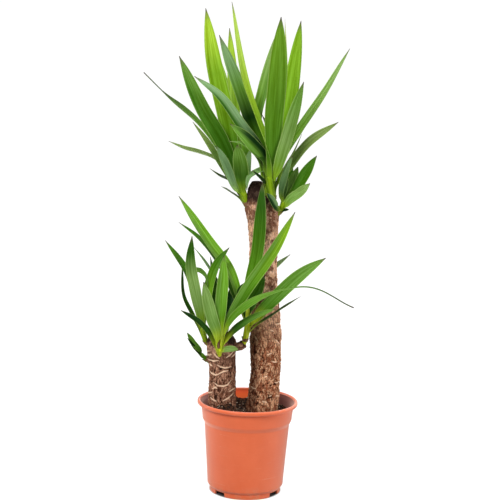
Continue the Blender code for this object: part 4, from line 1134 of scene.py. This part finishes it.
LEAVES = {
    "crown_left": (
        ("low_short", "slate", 10, 75, 85, (-31, -10, 514), (-43, -14, 522)),
        ("low_second", "slate", 10, 65, 75, (-31, -8, 532), (-47, -12, 540), (-62, -16, 552)),
        ("olive_flat", "olive", 15, 80, 62, (-57, 2, 568), (-80, 5, 577), (-106, 8, 584), (-131, 10, 595)),
        ("far_left", "fresh moss slate", 14, 62, 52,
            (-43, 10, 572), (-81, 12, 625), (-130, -14, 670), (-165, -60, 709)),
        ("olive_narrow", "moss olive", 16, 50, 60, (-39, -8, 549), (-58, -16, 582), (-89, -28, 629)),
        ("grey_short", "blue blue", 18, 40, 45, (-24, -10, 526), (-35, -18, 555), (-51, -26, 590)),
        ("broad_left", "deep mid moss -mid", 26, 25, 20,
            (-27, 0, 556), (-43, -4, 595), (-73, -10, 647), (-111, -12, 735)),
        ("back_left", "mid fresh", 22, 40, 30, (-33, 25, 566), (-57, 60, 611), (-83, 88, 660)),
        ("dark_narrow", "dark", 9, 30, 40, (-24, 8, 544), (-31, 12, 569), (-33, 16, 597)),
        ("front_dark", "leafy deep moss", 25, 165, 170, (-9, -16, 526), (-11, -32, 553), (-16, -54, 593)),
        ("back_straight", "mid fresh", 22, 20, 20, (-8, 40, 536), (-6, 74, 572), (-8, 98, 606)),
        ("blue_upright", "moss grey", 14, 35, 30, (-1, 2, 528), (1, 6, 556), (5, 8, 582)),
        ("back_long", "mid bright", 24, 25, 20,
            (-16, 25, 554), (-32, 70, 644), (-46, 96, 703), (-54, 112, 745)),
        ("yellow_back", "leafy bright lemon", 24, 45, 35,
            (-18, 18, 555), (-24, 34, 646), (-27, 42, 712), (-30, 48, 781)),
        ("long_yellow", "deep leafy bright bright lemon", 29, 15, 10,
            (-20, 3, 556), (-39, 12, 650), (-54, 20, 714), (-69, 34, 813)),
    ),
    "crown_right": (
        ("low_dark", "slate dark", 10, 55, 60, (29, -8, 522), (23, -24, 535), (8, -30, 550)),
        ("drooping", "moss grey", 12, 50, 45, (28, -8, 549), (14, -18, 546), (3, -28, 538), (-1, -36, 518)),
        ("olive_right", "moss olive olive", 20, 45, 50, (73, 0, 557), (100, -8, 591), (149, -18, 628)),
        ("thin_right", "olive", 10, 80, 85, (64, 10, 555), (76, 14, 573), (91, 20, 607)),
        ("back_right", "mid fresh", 14, 35, 40, (61, 25, 568), (90, 60, 612), (120, 88, 656)),
        ("edge_left", "teal moss", 16, 70, 75,
            (25, -12, 562), (11, -32, 577), (-11, -48, 595), (-30, -56, 599)),
        ("front_left", "deep moss moss +dark", 24, 30, 35, (26, -12, 564), (2, -36, 598), (-28, -50, 627)),
        ("far_right", "fresh sage", 20, 50, 60, (59, 6, 572), (94, 8, 624), (131, 6, 680), (168, 2, 747)),
        ("pale_right", "fresh sage moss", 22, 25, 25,
            (53, -20, 561), (67, -34, 608), (78, -42, 649), (91, -46, 694)),
        ("back_middle_left", "mid fresh", 20, 30, 25, (29, 28, 562), (12, 68, 604), (-3, 100, 651)),
        ("back_middle_right", "mid fresh", 22, 25, 25, (53, 25, 563), (68, 60, 602), (79, 95, 663)),
        ("blue_left", "deep dark blue blue -deep", 20, 35, 35,
            (24, -14, 574), (-9, -30, 621), (-48, -40, 674), (-85, -46, 703)),
        ("hooked", "dark", 8, 50, 50, (32, -8, 598), (30, -8, 624), (23, -12, 642)),
        ("yellow_right", "fresh bright", 26, 15, 15,
            (52, 4, 581), (68, 8, 647), (77, 10, 712), (88, 10, 792)),
        ("back_long", "mid fresh", 24, 15, 15, (41, 30, 562), (47, 75, 625), (51, 112, 697)),
        ("green_back", "deep fresh sage +moss", 20, 35, 30,
            (27, 14, 580), (17, 28, 633), (26, 34, 677), (49, 44, 774)),
        ("thin_upright", "lemon cream", 14, 80, 86,
            (54, 16, 597), (65, 24, 646), (66, 32, 728), (62, 36, 796)),
        ("blue_upright", "leafy leafy dark moss blue", 24, 30, 20,
            (29, -4, 557), (7, -14, 623), (-12, -14, 678), (-46, 0, 769)),
        ("edge_upright", "leafy lemon pale", 20, 65, 58,
            (36, -16, 577), (17, -22, 632), (-5, -24, 698), (-25, -14, 822)),
        ("broad_front", "mid leafy fresh", 32, 170, 165,
            (40, -12, 557), (44, -40, 631), (50, -75, 713), (53, -112, 795)),
    ),
    "crown_side": (
        ("low_short", "dark", 7, 55, 60, (60, -8, 481), (69, -12, 483)),
        ("across_cane", "+grey -dark teal", 14, 40, 45, (49, -16, 486), (39, -22, 502), (31, -26, 512)),
        ("low_green", "moss sage", 18, 40, 35, (69, -12, 498), (85, -18, 510), (103, -24, 528)),
        ("broad_green", "mid", 22, 35, 40, (74, -8, 502), (91, -12, 533), (114, -18, 573)),
        ("back_green", "mid", 14, 30, 30, (63, 14, 503), (71, 34, 532), (76, 46, 553)),
        ("short_green", "moss sage", 18, 35, 30, (65, -2, 505), (77, 2, 532), (84, 4, 553)),
        ("short_narrow", "grey", 10, 40, 40, (60, -4, 505), (67, -8, 535)),
        ("dark_upright", "teal grey", 16, 50, 50, (57, -10, 506), (63, -22, 541), (74, -28, 573)),
    ),
    "base_right": (
        ("thin_low", "moss slate slate", 10, 75, 80, (8, -26, 284), (47, -36, 314), (88, -42, 343)),
        ("broad_right", "mid moss", 24, 30, 30,
            (14, -26, 301), (55, -36, 347), (93, -40, 382), (129, -42, 407)),
        ("under_left", "deep mid", 16, 60, 65,
            (-20, -2, 329), (-43, 12, 378), (-83, 20, 432), (-116, 22, 458)),
        ("long_left", "grass grass -moss", 20, 40, 40,
            (-13, -8, 330), (-29, 6, 376), (-64, 16, 424), (-115, 14, 503)),
        ("small_left", "deep", 14, 45, 50, (-8, -18, 324), (-12, -14, 346), (0, -12, 363)),
        ("dark_short", "deep mid", 20, 25, 30, (7, -30, 326), (19, -36, 354), (29, -38, 377)),
        ("over_cane", "leafy leafy deep", 22, 20, 20,
            (2, -28, 351), (17, -32, 414), (23, -34, 484), (25, -28, 531)),
    ),
    "base_back": (
        ("behind_cane", "mid grey", 18, 55, 55, (-13, 40, 321), (25, 46, 359), (73, 44, 400)),
        ("back_left", "mid", 16, 30, 30, (-61, 45, 289), (-69, 65, 312), (-73, 84, 335)),
        ("back_right", "mid", 16, 30, 30, (-30, 45, 289), (-24, 65, 310), (-20, 80, 328)),
        ("back_long", "mid fresh", 18, 15, 15, (-44, 50, 299), (-43, 80, 332), (-43, 104, 367)),
        ("thin_left", "grey", 12, 70, 75, (-50, 20, 351), (-65, 18, 380), (-90, 16, 416)),
        ("short_left", "deep mid", 16, 25, 25, (-50, 22, 304), (-54, 20, 332), (-59, 18, 377)),
        ("narrow_left", "deep", 12, 55, 55, (-54, 24, 342), (-61, 24, 381), (-63, 24, 399)),
        ("short_dark", "dark", 16, 30, 30, (-35, 28, 298), (-28, 30, 327), (-20, 32, 358)),
    ),
    "base_front": (
        ("low_right", "sage", 12, 45, 45, (-29, -52, 256), (-14, -60, 257)),
        ("low_left", "deep dark", 14, 55, 60, (-59, -50, 275), (-78, -57, 301), (-109, -60, 323)),
        ("dark_right", "dark deep moss", 16, 50, 60, (-25, -54, 284), (4, -64, 308), (47, -66, 327)),
        ("far_right", "leafy moss slate", 16, 45, 20,
            (-29, -60, 303), (17, -76, 345), (84, -62, 362), (180, 20, 312)),
        ("grey_left", "moss sage", 20, 10, 15,
            (-50, -46, 274), (-59, -54, 311), (-68, -62, 354), (-71, -64, 371)),
        ("upright", "leafy grass -moss", 20, 10, 10,
            (-45, -44, 280), (-43, -50, 328), (-39, -54, 376), (-38, -54, 413)),
        ("across_cane", "deep leafy bright -moss", 20, 20, 20,
            (-32, -46, 299), (-3, -52, 352), (45, -56, 423), (78, -50, 484)),
    ),
    "base_left": (
        ("dark_left", "deep", 12, 65, 65, (-92, -2, 302), (-107, 0, 332), (-110, 4, 388)),
        ("far_left", "deep mid", 16, 40, 50, (-86, -10, 322), (-99, -14, 374), (-136, -20, 433)),
        ("back_short", "mid", 14, 30, 30, (-77, 16, 295), (-83, 38, 322), (-87, 55, 345)),
        ("arched", "deep moss", 12, 45, 45, (-87, 2, 354), (-83, -4, 381), (-71, -8, 373), (-66, -10, 353)),
        ("bright_right", "bright fresh mid", 18, 30, 25,
            (-68, -8, 330), (-59, -8, 371), (-49, -10, 395), (-30, -12, 420)),
        ("blue_upright", "leafy sage sage deep", 19, 10, 10,
            (-78, -20, 302), (-86, -28, 346), (-94, -32, 402), (-91, -30, 442)),
    ),
    "base_low_left": (
        ("lower", "dark", 8, 55, 60, (-80, -14, 239), (-90, -20, 253), (-100, -26, 269)),
        ("upper", "deep moss", 11, 40, 45, (-79, -13, 243), (-89, -17, 256), (-101, -20, 277)),
    ),
}
print(sum(len(rows) for rows in LEAVES.values()), "leaves on", len(STEMS), "shoots")

# %% [markdown]
# ## Leaves: their colours
# The tones run from the lime of a sheath, through the yellow-green of young leaves in the middle of a
# crown, to the blue-grey bloom and dull olive of the old outer leaves. They are chosen from a few leaves
# each and kept as names, so that a leaf can be given another tone by changing one word.

# %% Tones of the leaves
# Painted shade: the tones deep, dark and teal are darker greens that stand for the shade on leaves, and on
# the lower parts of leaves, deep inside a crown. The blue and grey tones are the waxy bloom together with a
# painted sheen of the light on it.
TONES = {name: paint(*colour) for name, colour in {
    "lime": (224, 240, 50), "young": (150, 182, 22), "lemon": (166, 204, 38), "cream": (206, 224, 120),
    "bright": (128, 176, 10), "pale": (174, 206, 76), "grass": (118, 174, 48), "leafy": (84, 138, 2),
    "fresh": (106, 158, 12), "mid": (68, 122, 10), "moss": (104, 150, 54), "deep": (46, 94, 6),
    "dark": (16, 52, 10), "grey": (120, 156, 96), "blue": (132, 170, 114), "sage": (134, 170, 88),
    "olive": (120, 144, 74), "teal": (28, 72, 36), "slate": (74, 94, 56), "husk": (168, 124, 92),
}.items()}
UNDER_BLOOM = paint(128, 160, 50)  # the waxy bloom that greys the underside


def leaf_tint(tones, sheath_tone, along, length, under, rng):
    """Colour along a leaf: the tone of the sheath at its base, then its own tones, evenly spaced to the tip.

    The sheath fades between 16 and 75 mm, or before the middle of a short leaf. A tone with a sign takes over
    on that side of the midrib instead: painted light and shade on one half of the folded blade. The
    underside is mixed by a twelfth with the colour of its bloom, and each leaf is lighter or darker by up to
    a twelfth.
    """
    row = [np.array(TONES[tone]) for tone in tones.split() if tone[0] not in "+-"]
    stops = np.linspace(0.15, 0.85, len(row)) if len(row) > 1 else np.array([0.5])
    colour = np.stack([np.interp(along, stops, [tone[channel] for tone in row]) for channel in range(3)], -1)
    colour = colour[:, None]
    # painted light and shade: a signed tone colours one half of the blade lighter or darker, as light falls
    # on the fold
    for tone in tones.split():
        if tone[0] in "+-":
            across = ease(-0.2, 0.5, ROUND_ACROSS if tone[0] == "+" else -ROUND_ACROSS)[:, None]
            beside = across * (1 - ease(0.75, 1.0, along))[:, None, None]
            colour = colour * (1 - beside) + np.array(TONES[tone[1:]]) * beside
    fading = ease(min(16, 0.1 * length), min(75, 0.45 * length), along * length)
    sheath = 0.95 * (1 - fading)[:, None, None]
    colour = colour * (1 - sheath) + np.array(TONES[sheath_tone]) * sheath
    colour = colour * rng.uniform(0.92, 1.08)
    under = under[:, None] / 12
    return colour * (1 - under) + np.array(UNDER_BLOOM) * under


print(len(TONES), "tones")

# %% [markdown]
# ## Leaves: their shape
# A blade is a section carried along its midrib. The section is a shallow channel with a thick rib in the
# middle and thin edges. It is closed: the upper face runs from the left edge to the right one and the lower
# face back again. Every leaf starts at the foot of its stem and clasps it: down there the section is an arc
# round the stem, and it opens into the channel as the leaf departs. The leaves overlap like the scales of
# an onion, so nothing of the stem itself shows but the foot, where a few dry brown husks stand on all
# shoots but one.

# %% One blade
NECK, WIDEST, TAPER = 0.42, 0.46, 3  # width at the root, place of the greatest width, and how late it narrows
TIP_HALF_WIDTH, THREAD_HALF_WIDTH = 0.45, 1.1  # mm, the least half width of a fresh tip and of a dry thread
DRIED = {"crown_left far_left": 0.85, "base_front far_right": 0.5}  # where each dry thread begins, as a share
DRYING, THREAD = 0.24, 0.16  # over which share such a leaf narrows, and to which share of its width
FRESH = 2  # the thread of any other leaf would begin beyond its tip
ROW_STEP, FEWEST_ROWS, MOST_ROWS = 4.5, 20, 62  # the step is in mm
CLASP_END = 0.16  # share of the length over which the foot opens into the blade
CHANNEL_DEPTH, RIPPLE = 0.28, 0.06  # shares of the half width
EDGE_THICKNESS, RIB_THICKNESS = 0.35, 0.75  # mm, the rib's on top of the edge's
FACE_COLUMNS = 13
ACROSS = np.sin(np.linspace(-math.pi / 2, math.pi / 2, FACE_COLUMNS))
ROUND_ACROSS = np.concatenate([ACROSS, ACROSS[::-1]])  # -1 to 1 on the upper face, then back on the lower one
LOWER_FACE = np.repeat((0.0, 1.0), FACE_COLUMNS)


def blade_width(along, thread_from):
    """Share of the half width: a quarter sine from NECK to 1 at WIDEST, times 1 - s^TAPER from there on.

    A leaf that has dried from its tip falls to THREAD of that, which it reaches at thread_from.
    """
    rise = NECK + (1 - NECK) * np.sin(np.minimum(along / WIDEST, 1) * math.pi / 2)
    fall = 1 - (np.maximum(along - WIDEST, 0) / (1 - WIDEST)) ** TAPER
    return rise * fall * (1 - (1 - THREAD) * ease(thread_from - DRYING, thread_from, along))


def blade_frames(rib, turn_root, turn_tip, away, clasping):
    """Across and upper directions: square to the midrib, turned about it from one angle to the other.

    Where the leaf clasps its stem the upper face is turned further, by up to 75 degrees, to face the stem.
    """
    tangent = unit(np.gradient(rib, axis=0))
    side = 1.0 if rib[-1, 0] >= rib[0, 0] else -1.0
    inward = unit(side * np.cross(tangent, (0.0, 1.0, 0.0)))
    front = side * np.cross(tangent, inward)
    turn = np.radians(np.linspace(turn_root, turn_tip, len(rib)))[:, None]
    upper = np.cos(turn) * front + np.sin(turn) * inward
    toward = np.cross(tangent, upper)
    further = np.arctan2(-(toward @ away), -(upper @ away))[:, None]
    further = np.clip(further, -1.3, 1.3) * clasping
    upper = np.cos(further) * upper + np.sin(further) * toward
    return np.cross(tangent, upper), upper


def blade_grid(foot, root, away, reach, width, turn_root, turn_tip, places, thread_from, rng):
    """Points of a blade in mm: midrib + sideways across + (lift + or - thickness / 2) upper.

    At the foot the section is an arc of radius reach: sideways = sin(k half u) / k and
    lift = (1 - cos(k half u)) / k with k = 1 / reach, and k falls to 0 as the leaf departs. To the lift come
    CHANNEL_DEPTH * half * (sqrt(u^2 + 0.02) - 0.14), a channel with a soft bottom, and a slow ripple of the
    edges. The thickness falls from the rib to the edge.
    """
    path = [foot, root, *places]
    spans = [math.dist(a, b) for a, b in zip(path, path[1:])]
    length = sum(spans)
    rows = int(np.clip(length / ROW_STEP, FEWEST_ROWS, MOST_ROWS))
    rib = smooth_path(path, rows)
    along = np.linspace(0, 1, rows)[:, None]
    left = spans[0] / length
    clasping = 1 - ease(0.7 * left, left + CLASP_END, along)
    across, upper = blade_frames(rib, turn_root, turn_tip, away, clasping)
    u = ROUND_ACROSS
    since = np.clip((along - left) / (1 - left), 0, 1)
    slimmest = np.where(along > thread_from - DRYING, THREAD_HALF_WIDTH, TIP_HALF_WIDTH)
    half = np.maximum(blade_width(since, thread_from) * width / 2, slimmest)
    half = half * (0.75 + 0.25 * ease(0, left, along))
    k = np.maximum(clasping / reach, 1e-5)
    sideways, lift = np.sin(k * half * u) / k, (1 - np.cos(k * half * u)) / k
    waves, start = rng.uniform(1.5, 3), rng.uniform()
    ripple = RIPPLE * half * u**2 * np.sin(2 * math.pi * (waves * along + start) + u)
    channel = CHANNEL_DEPTH * half * (np.sqrt(u**2 + 0.02) - 0.14)
    lift = lift + (channel + ripple) * (1 - clasping)
    thick = EDGE_THICKNESS + (RIB_THICKNESS * (1 - 0.6 * along) + 0.5 * clasping) * (1 - np.abs(u)) ** 1.3
    thick = thick * np.clip((1.02 - along) / 0.06, 0.4, 1)
    rise = lift + thick * (0.5 - LOWER_FACE)
    points = rib[:, None] + sideways[..., None] * across[:, None] + rise[..., None] * upper[:, None]
    return points, np.stack([(u + 1) / 2 + 0 * along, along + 0 * u], -1), length


print("a blade has", len(ROUND_ACROSS), "columns and up to", MOST_ROWS, "rows")


# %% Husks and stems
def husk_grid(foot, axis, outward, length):
    """A dry scale: half width 0.45 length (1 - s^2), bent out by 0.35 length s^2, cupped round the stem."""
    s = np.linspace(0, 1, 9)[:, None]
    u = ROUND_ACROSS
    half = 0.45 * length * (1 - s**2) + 0.1
    out = 0.35 * length * s**2 - 0.5 * half * u**2 + 0.25 * (1 - LOWER_FACE)
    up = (s - 0.15) * length
    beside = np.cross(axis, outward)
    points = foot + up[..., None] * axis + out[..., None] * outward + (half * u)[..., None] * beside
    return points, np.stack([(u + 1) / 2 + 0 * s, 0.3 + 0 * s + 0 * u], -1)


STEM_ROWS, STEM_COLUMNS = 40, 20
STEM_SLIMMER = 0.85  # the drawn stem over the CAD stem


def stem_grid(levels, shown):
    """A tube through the stem's levels, slimmer than the CAD stem, closed to a point at the share shown."""
    table = np.array(levels, float)
    share = np.linspace(0, 1, STEM_ROWS)
    share = share[share <= shown]
    path = smooth_path(table[:, :3], STEM_ROWS)[: len(share)]
    run = np.concatenate([[0], np.cumsum(np.linalg.norm(np.diff(table[:, :3], axis=0), axis=1))])
    closing = ease(0.86 * shown, shown, share)
    radius = STEM_SLIMMER * np.interp(share * run[-1], run, table[:, 3]) * np.sqrt(1 - 0.97 * closing)
    turns = np.linspace(0, 2 * math.pi, STEM_COLUMNS, endpoint=False)
    return tube_grid(path, radius[:, None] + 0 * turns, turns)


husk = husk_grid(np.zeros(3), np.array([0, 0, 1.0]), np.array([0, -1.0, 0]), 10)[0].reshape(-1, 3)
print("a husk 10 mm long measures, in mm:", (husk.max(0) - husk.min(0)).round(1))

# %% [markdown]
# ## Finish of the leaves
# Every leaf shares one material. The tint comes from the points, and the blade's own map says how far
# across and along a place is. From those come the fine parallel veins, a darker band beside the midrib, the
# pale hard edges and the dry brown point. Soft patches keep neighbouring leaves from looking alike.

# %% Leaf material
VEINS = 15  # across a blade
leaf_look, tree, shader = finish_of("yucca_leaf", 0.45, Specular_IOR_Level=0.1)
place = object_place(tree)
blade_map = node(tree, "UVMap", {}, uv_map="blade_map").outputs[0]
u, v = axis_of(tree, blade_map, "X"), axis_of(tree, blade_map, "Y")


def tinted(colour, value, saturation):
    """A colour made lighter or darker by value, and stronger or greyer by saturation."""
    inputs = {"Color": colour, "Value": value, "Saturation": saturation}
    return node(tree, "HueSaturation", inputs).outputs[0]


# long streaks, in which the tint is a little darker or lighter
streak_place = {"X": product(tree, u, 11.0), "Y": product(tree, v, 2.0)}
streak_place["Z"] = product(tree, axis_of(tree, place, "Z"), 6.0)
streaks = patch_mask(tree, node(tree, "CombineXYZ", streak_place).outputs[0], 1.0, 0.36, 0.64)
tint = attribute(tree, "tint", "Color")
darker, lighter = tinted(tint, 0.7, 1.08), tinted(tint, 1.18, 0.95)
colour = blend(tree, streaks, darker, lighter)
# the darker band beside the midrib, the veins and the soft patches
off_rib = maths(tree, "ABSOLUTE", maths(tree, "MULTIPLY_ADD", u, 2.0, -1.0))
band = product(tree, spread(tree, off_rib, 0.5, 0.12), spread(tree, v, 0.75, 0.25, 0.0, 0.4))
colour = blend(tree, product(tree, band, spread(tree, v, 0.08, 0.25)), colour, darker)
veins = maths(tree, "SINE", product(tree, u, 2 * math.pi * VEINS))
colour = blend(tree, maths(tree, "MULTIPLY_ADD", veins, 0.09, 0.09), colour, lighter)
cloudy = patch_mask(tree, place, 26.0, 0.4, 0.7)
colour = blend(tree, product(tree, cloudy, 0.5), colour, tinted(colour, 1.12, 1.0))
# the pale hard edge and the dry point
edge = product(tree, spread(tree, off_rib, 0.9, 0.98), spread(tree, v, 0.04, 0.2, 0.1, 0.5))
colour = blend(tree, edge, colour, paint(184, 208, 120))
dry = maths(tree, "MULTIPLY_ADD", streaks, 0.012, v)
colour = blend(tree, spread(tree, dry, 0.93, 0.985, 0.0, 0.55), colour, paint(112, 108, 78))
colour = blend(tree, spread(tree, dry, 0.982, 0.995, 0.0, 0.9), colour, paint(74, 58, 44))
tree.links.new(colour, shader.inputs["Base Color"])
rough = maths(tree, "MULTIPLY_ADD", streaks, 0.12, 0.36)
tree.links.new(maths(tree, "MULTIPLY_ADD", cloudy, 0.1, rough), shader.inputs["Roughness"])
fine = product(tree, grain_height(tree, place, 500.0, 0.3), 0.5)
bumped(tree, shader, maths(tree, "MULTIPLY_ADD", veins, 0.5, fine), 0.00012)
print("the leaf's finish has", len(tree.nodes), "nodes")

# %% [markdown]
# ## Growing the shoots
# The leaves of a shoot leave its stem one above another, the lowest first, at the heights of the CAD model.
# All of them clasp the stem from its foot up, each on the side to which it goes, and the lowest leaf is
# outermost.

# %% All eight shoots
LOWEST_ROOT, HIGHEST_ROOT = 0.25, 0.9  # shares of the stem outside the wood, as in the CAD model
OUTERMOST, CLOSER = 1.15, 0.4  # the lowest sheath's reach over the stem's radius, and how far it falls
HUSKS = 6
BARE_FOOT = "base_front"  # the shoot whose foot has no husks
SHEATH_TONES = {"crown_right": "lemon", "base_front": "lime", "base_right": "lime", "base_low_left": "leafy"}
OTHER_SHEATHS = "young"
STEM_SHOWN = {"base_front": 0.5}  # it leans to the front, and above this share the sheaths alone make it up
rng = np.random.default_rng(71)


def sheathed_leaves(name, axis, direction, sheath_tone):
    """Points, tint and map of each leaf of a shoot, the lowest and outermost first."""
    levels, rows = STEMS[name], LEAVES[name]
    radii = [level[3] for level in levels[1:]]
    for number, (leaf, tones, width, turn_root, turn_tip, *places) in enumerate(rows):
        share = LOWEST_ROOT + (HIGHEST_ROOT - LOWEST_ROOT) * number / (len(rows) - 1)
        at = int(share * (len(axis) - 1))
        root, up = axis[at], direction[at]
        away = np.array(places[0], float) - root
        away = unit(away - (away @ up) * up)
        onion = OUTERMOST - CLOSER * number / len(rows)
        reach = onion * np.interp(share, np.linspace(0, 1, len(radii)), radii)
        foot = axis[0] + away * onion * 0.75 * radii[0]
        thread_from = DRIED.get(f"{name} {leaf}", FRESH)
        points, leaf_map, length = blade_grid(
            foot, root + away * reach, away, reach, width, turn_root, turn_tip, places, thread_from, rng
        )
        yield points, leaf_tint(tones, sheath_tone, leaf_map[:, 0, 1], length, LOWER_FACE, rng), leaf_map


def husks_round(axis, direction, radius):
    """Points, tint and map of the husks, which stand round the foot of a stem."""
    first = unit(np.cross(direction[0], (0.0, 1.0, 0.0)))
    second = np.cross(direction[0], first)
    for spot in np.linspace(0, 2 * math.pi, HUSKS, endpoint=False) + rng.uniform(0, 1, HUSKS):
        away = math.cos(spot) * first + math.sin(spot) * second
        points, leaf_map = husk_grid(axis[0] + away * 0.95 * radius, direction[0], away, rng.uniform(5, 9))
        yield points, np.array(TONES["husk"]) * rng.uniform(0.5, 1.1) + 0 * points, leaf_map


def shoot(name):
    """Stem, sheaths and blades of one shoot, and its husks, in one mesh."""
    levels = STEMS[name]
    sheath_tone = SHEATH_TONES.get(name, OTHER_SHEATHS)
    axis = smooth_path([level[:3] for level in levels[1:]], STEM_ROWS)
    direction = unit(np.gradient(axis, axis=0))
    heap = Heap()
    stem = stem_grid(levels, STEM_SHOWN.get(name, 1))
    stem_map = np.full((*stem.shape[:2], 2), (0.5, 0.05))
    heap.add(leaning(stem), tint=np.array(TONES[sheath_tone]) + 0 * stem, blade_map=stem_map)
    for points, tint, leaf_map in sheathed_leaves(name, axis, direction, sheath_tone):
        heap.add(leaning(points), tint=tint, blade_map=leaf_map)
    if name != BARE_FOOT:
        for points, tint, leaf_map in husks_round(axis, direction, levels[1][3]):
            heap.add(leaning(points), tint=tint, blade_map=leaf_map)
    heap.piece("foliage_" + name, leaf_look, "shoot_" + name, "leaf", 70)


for name in STEMS:
    shoot(name)

# %% [markdown]
# ## Size and end
# Both boxes, the CAD model's and the fine model's, are kept side by side, and the fine model's box is
# printed. The fine model has to stay inside the CAD model's box.

# %% The sizes and the end
scene_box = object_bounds()
sizes = {"cad": [list(corner) for corner in cad_box], "scene": [list(corner) for corner in scene_box]}
print("scene box in mm:", [[round(c / MM, 1) for c in corner] for corner in scene_box])
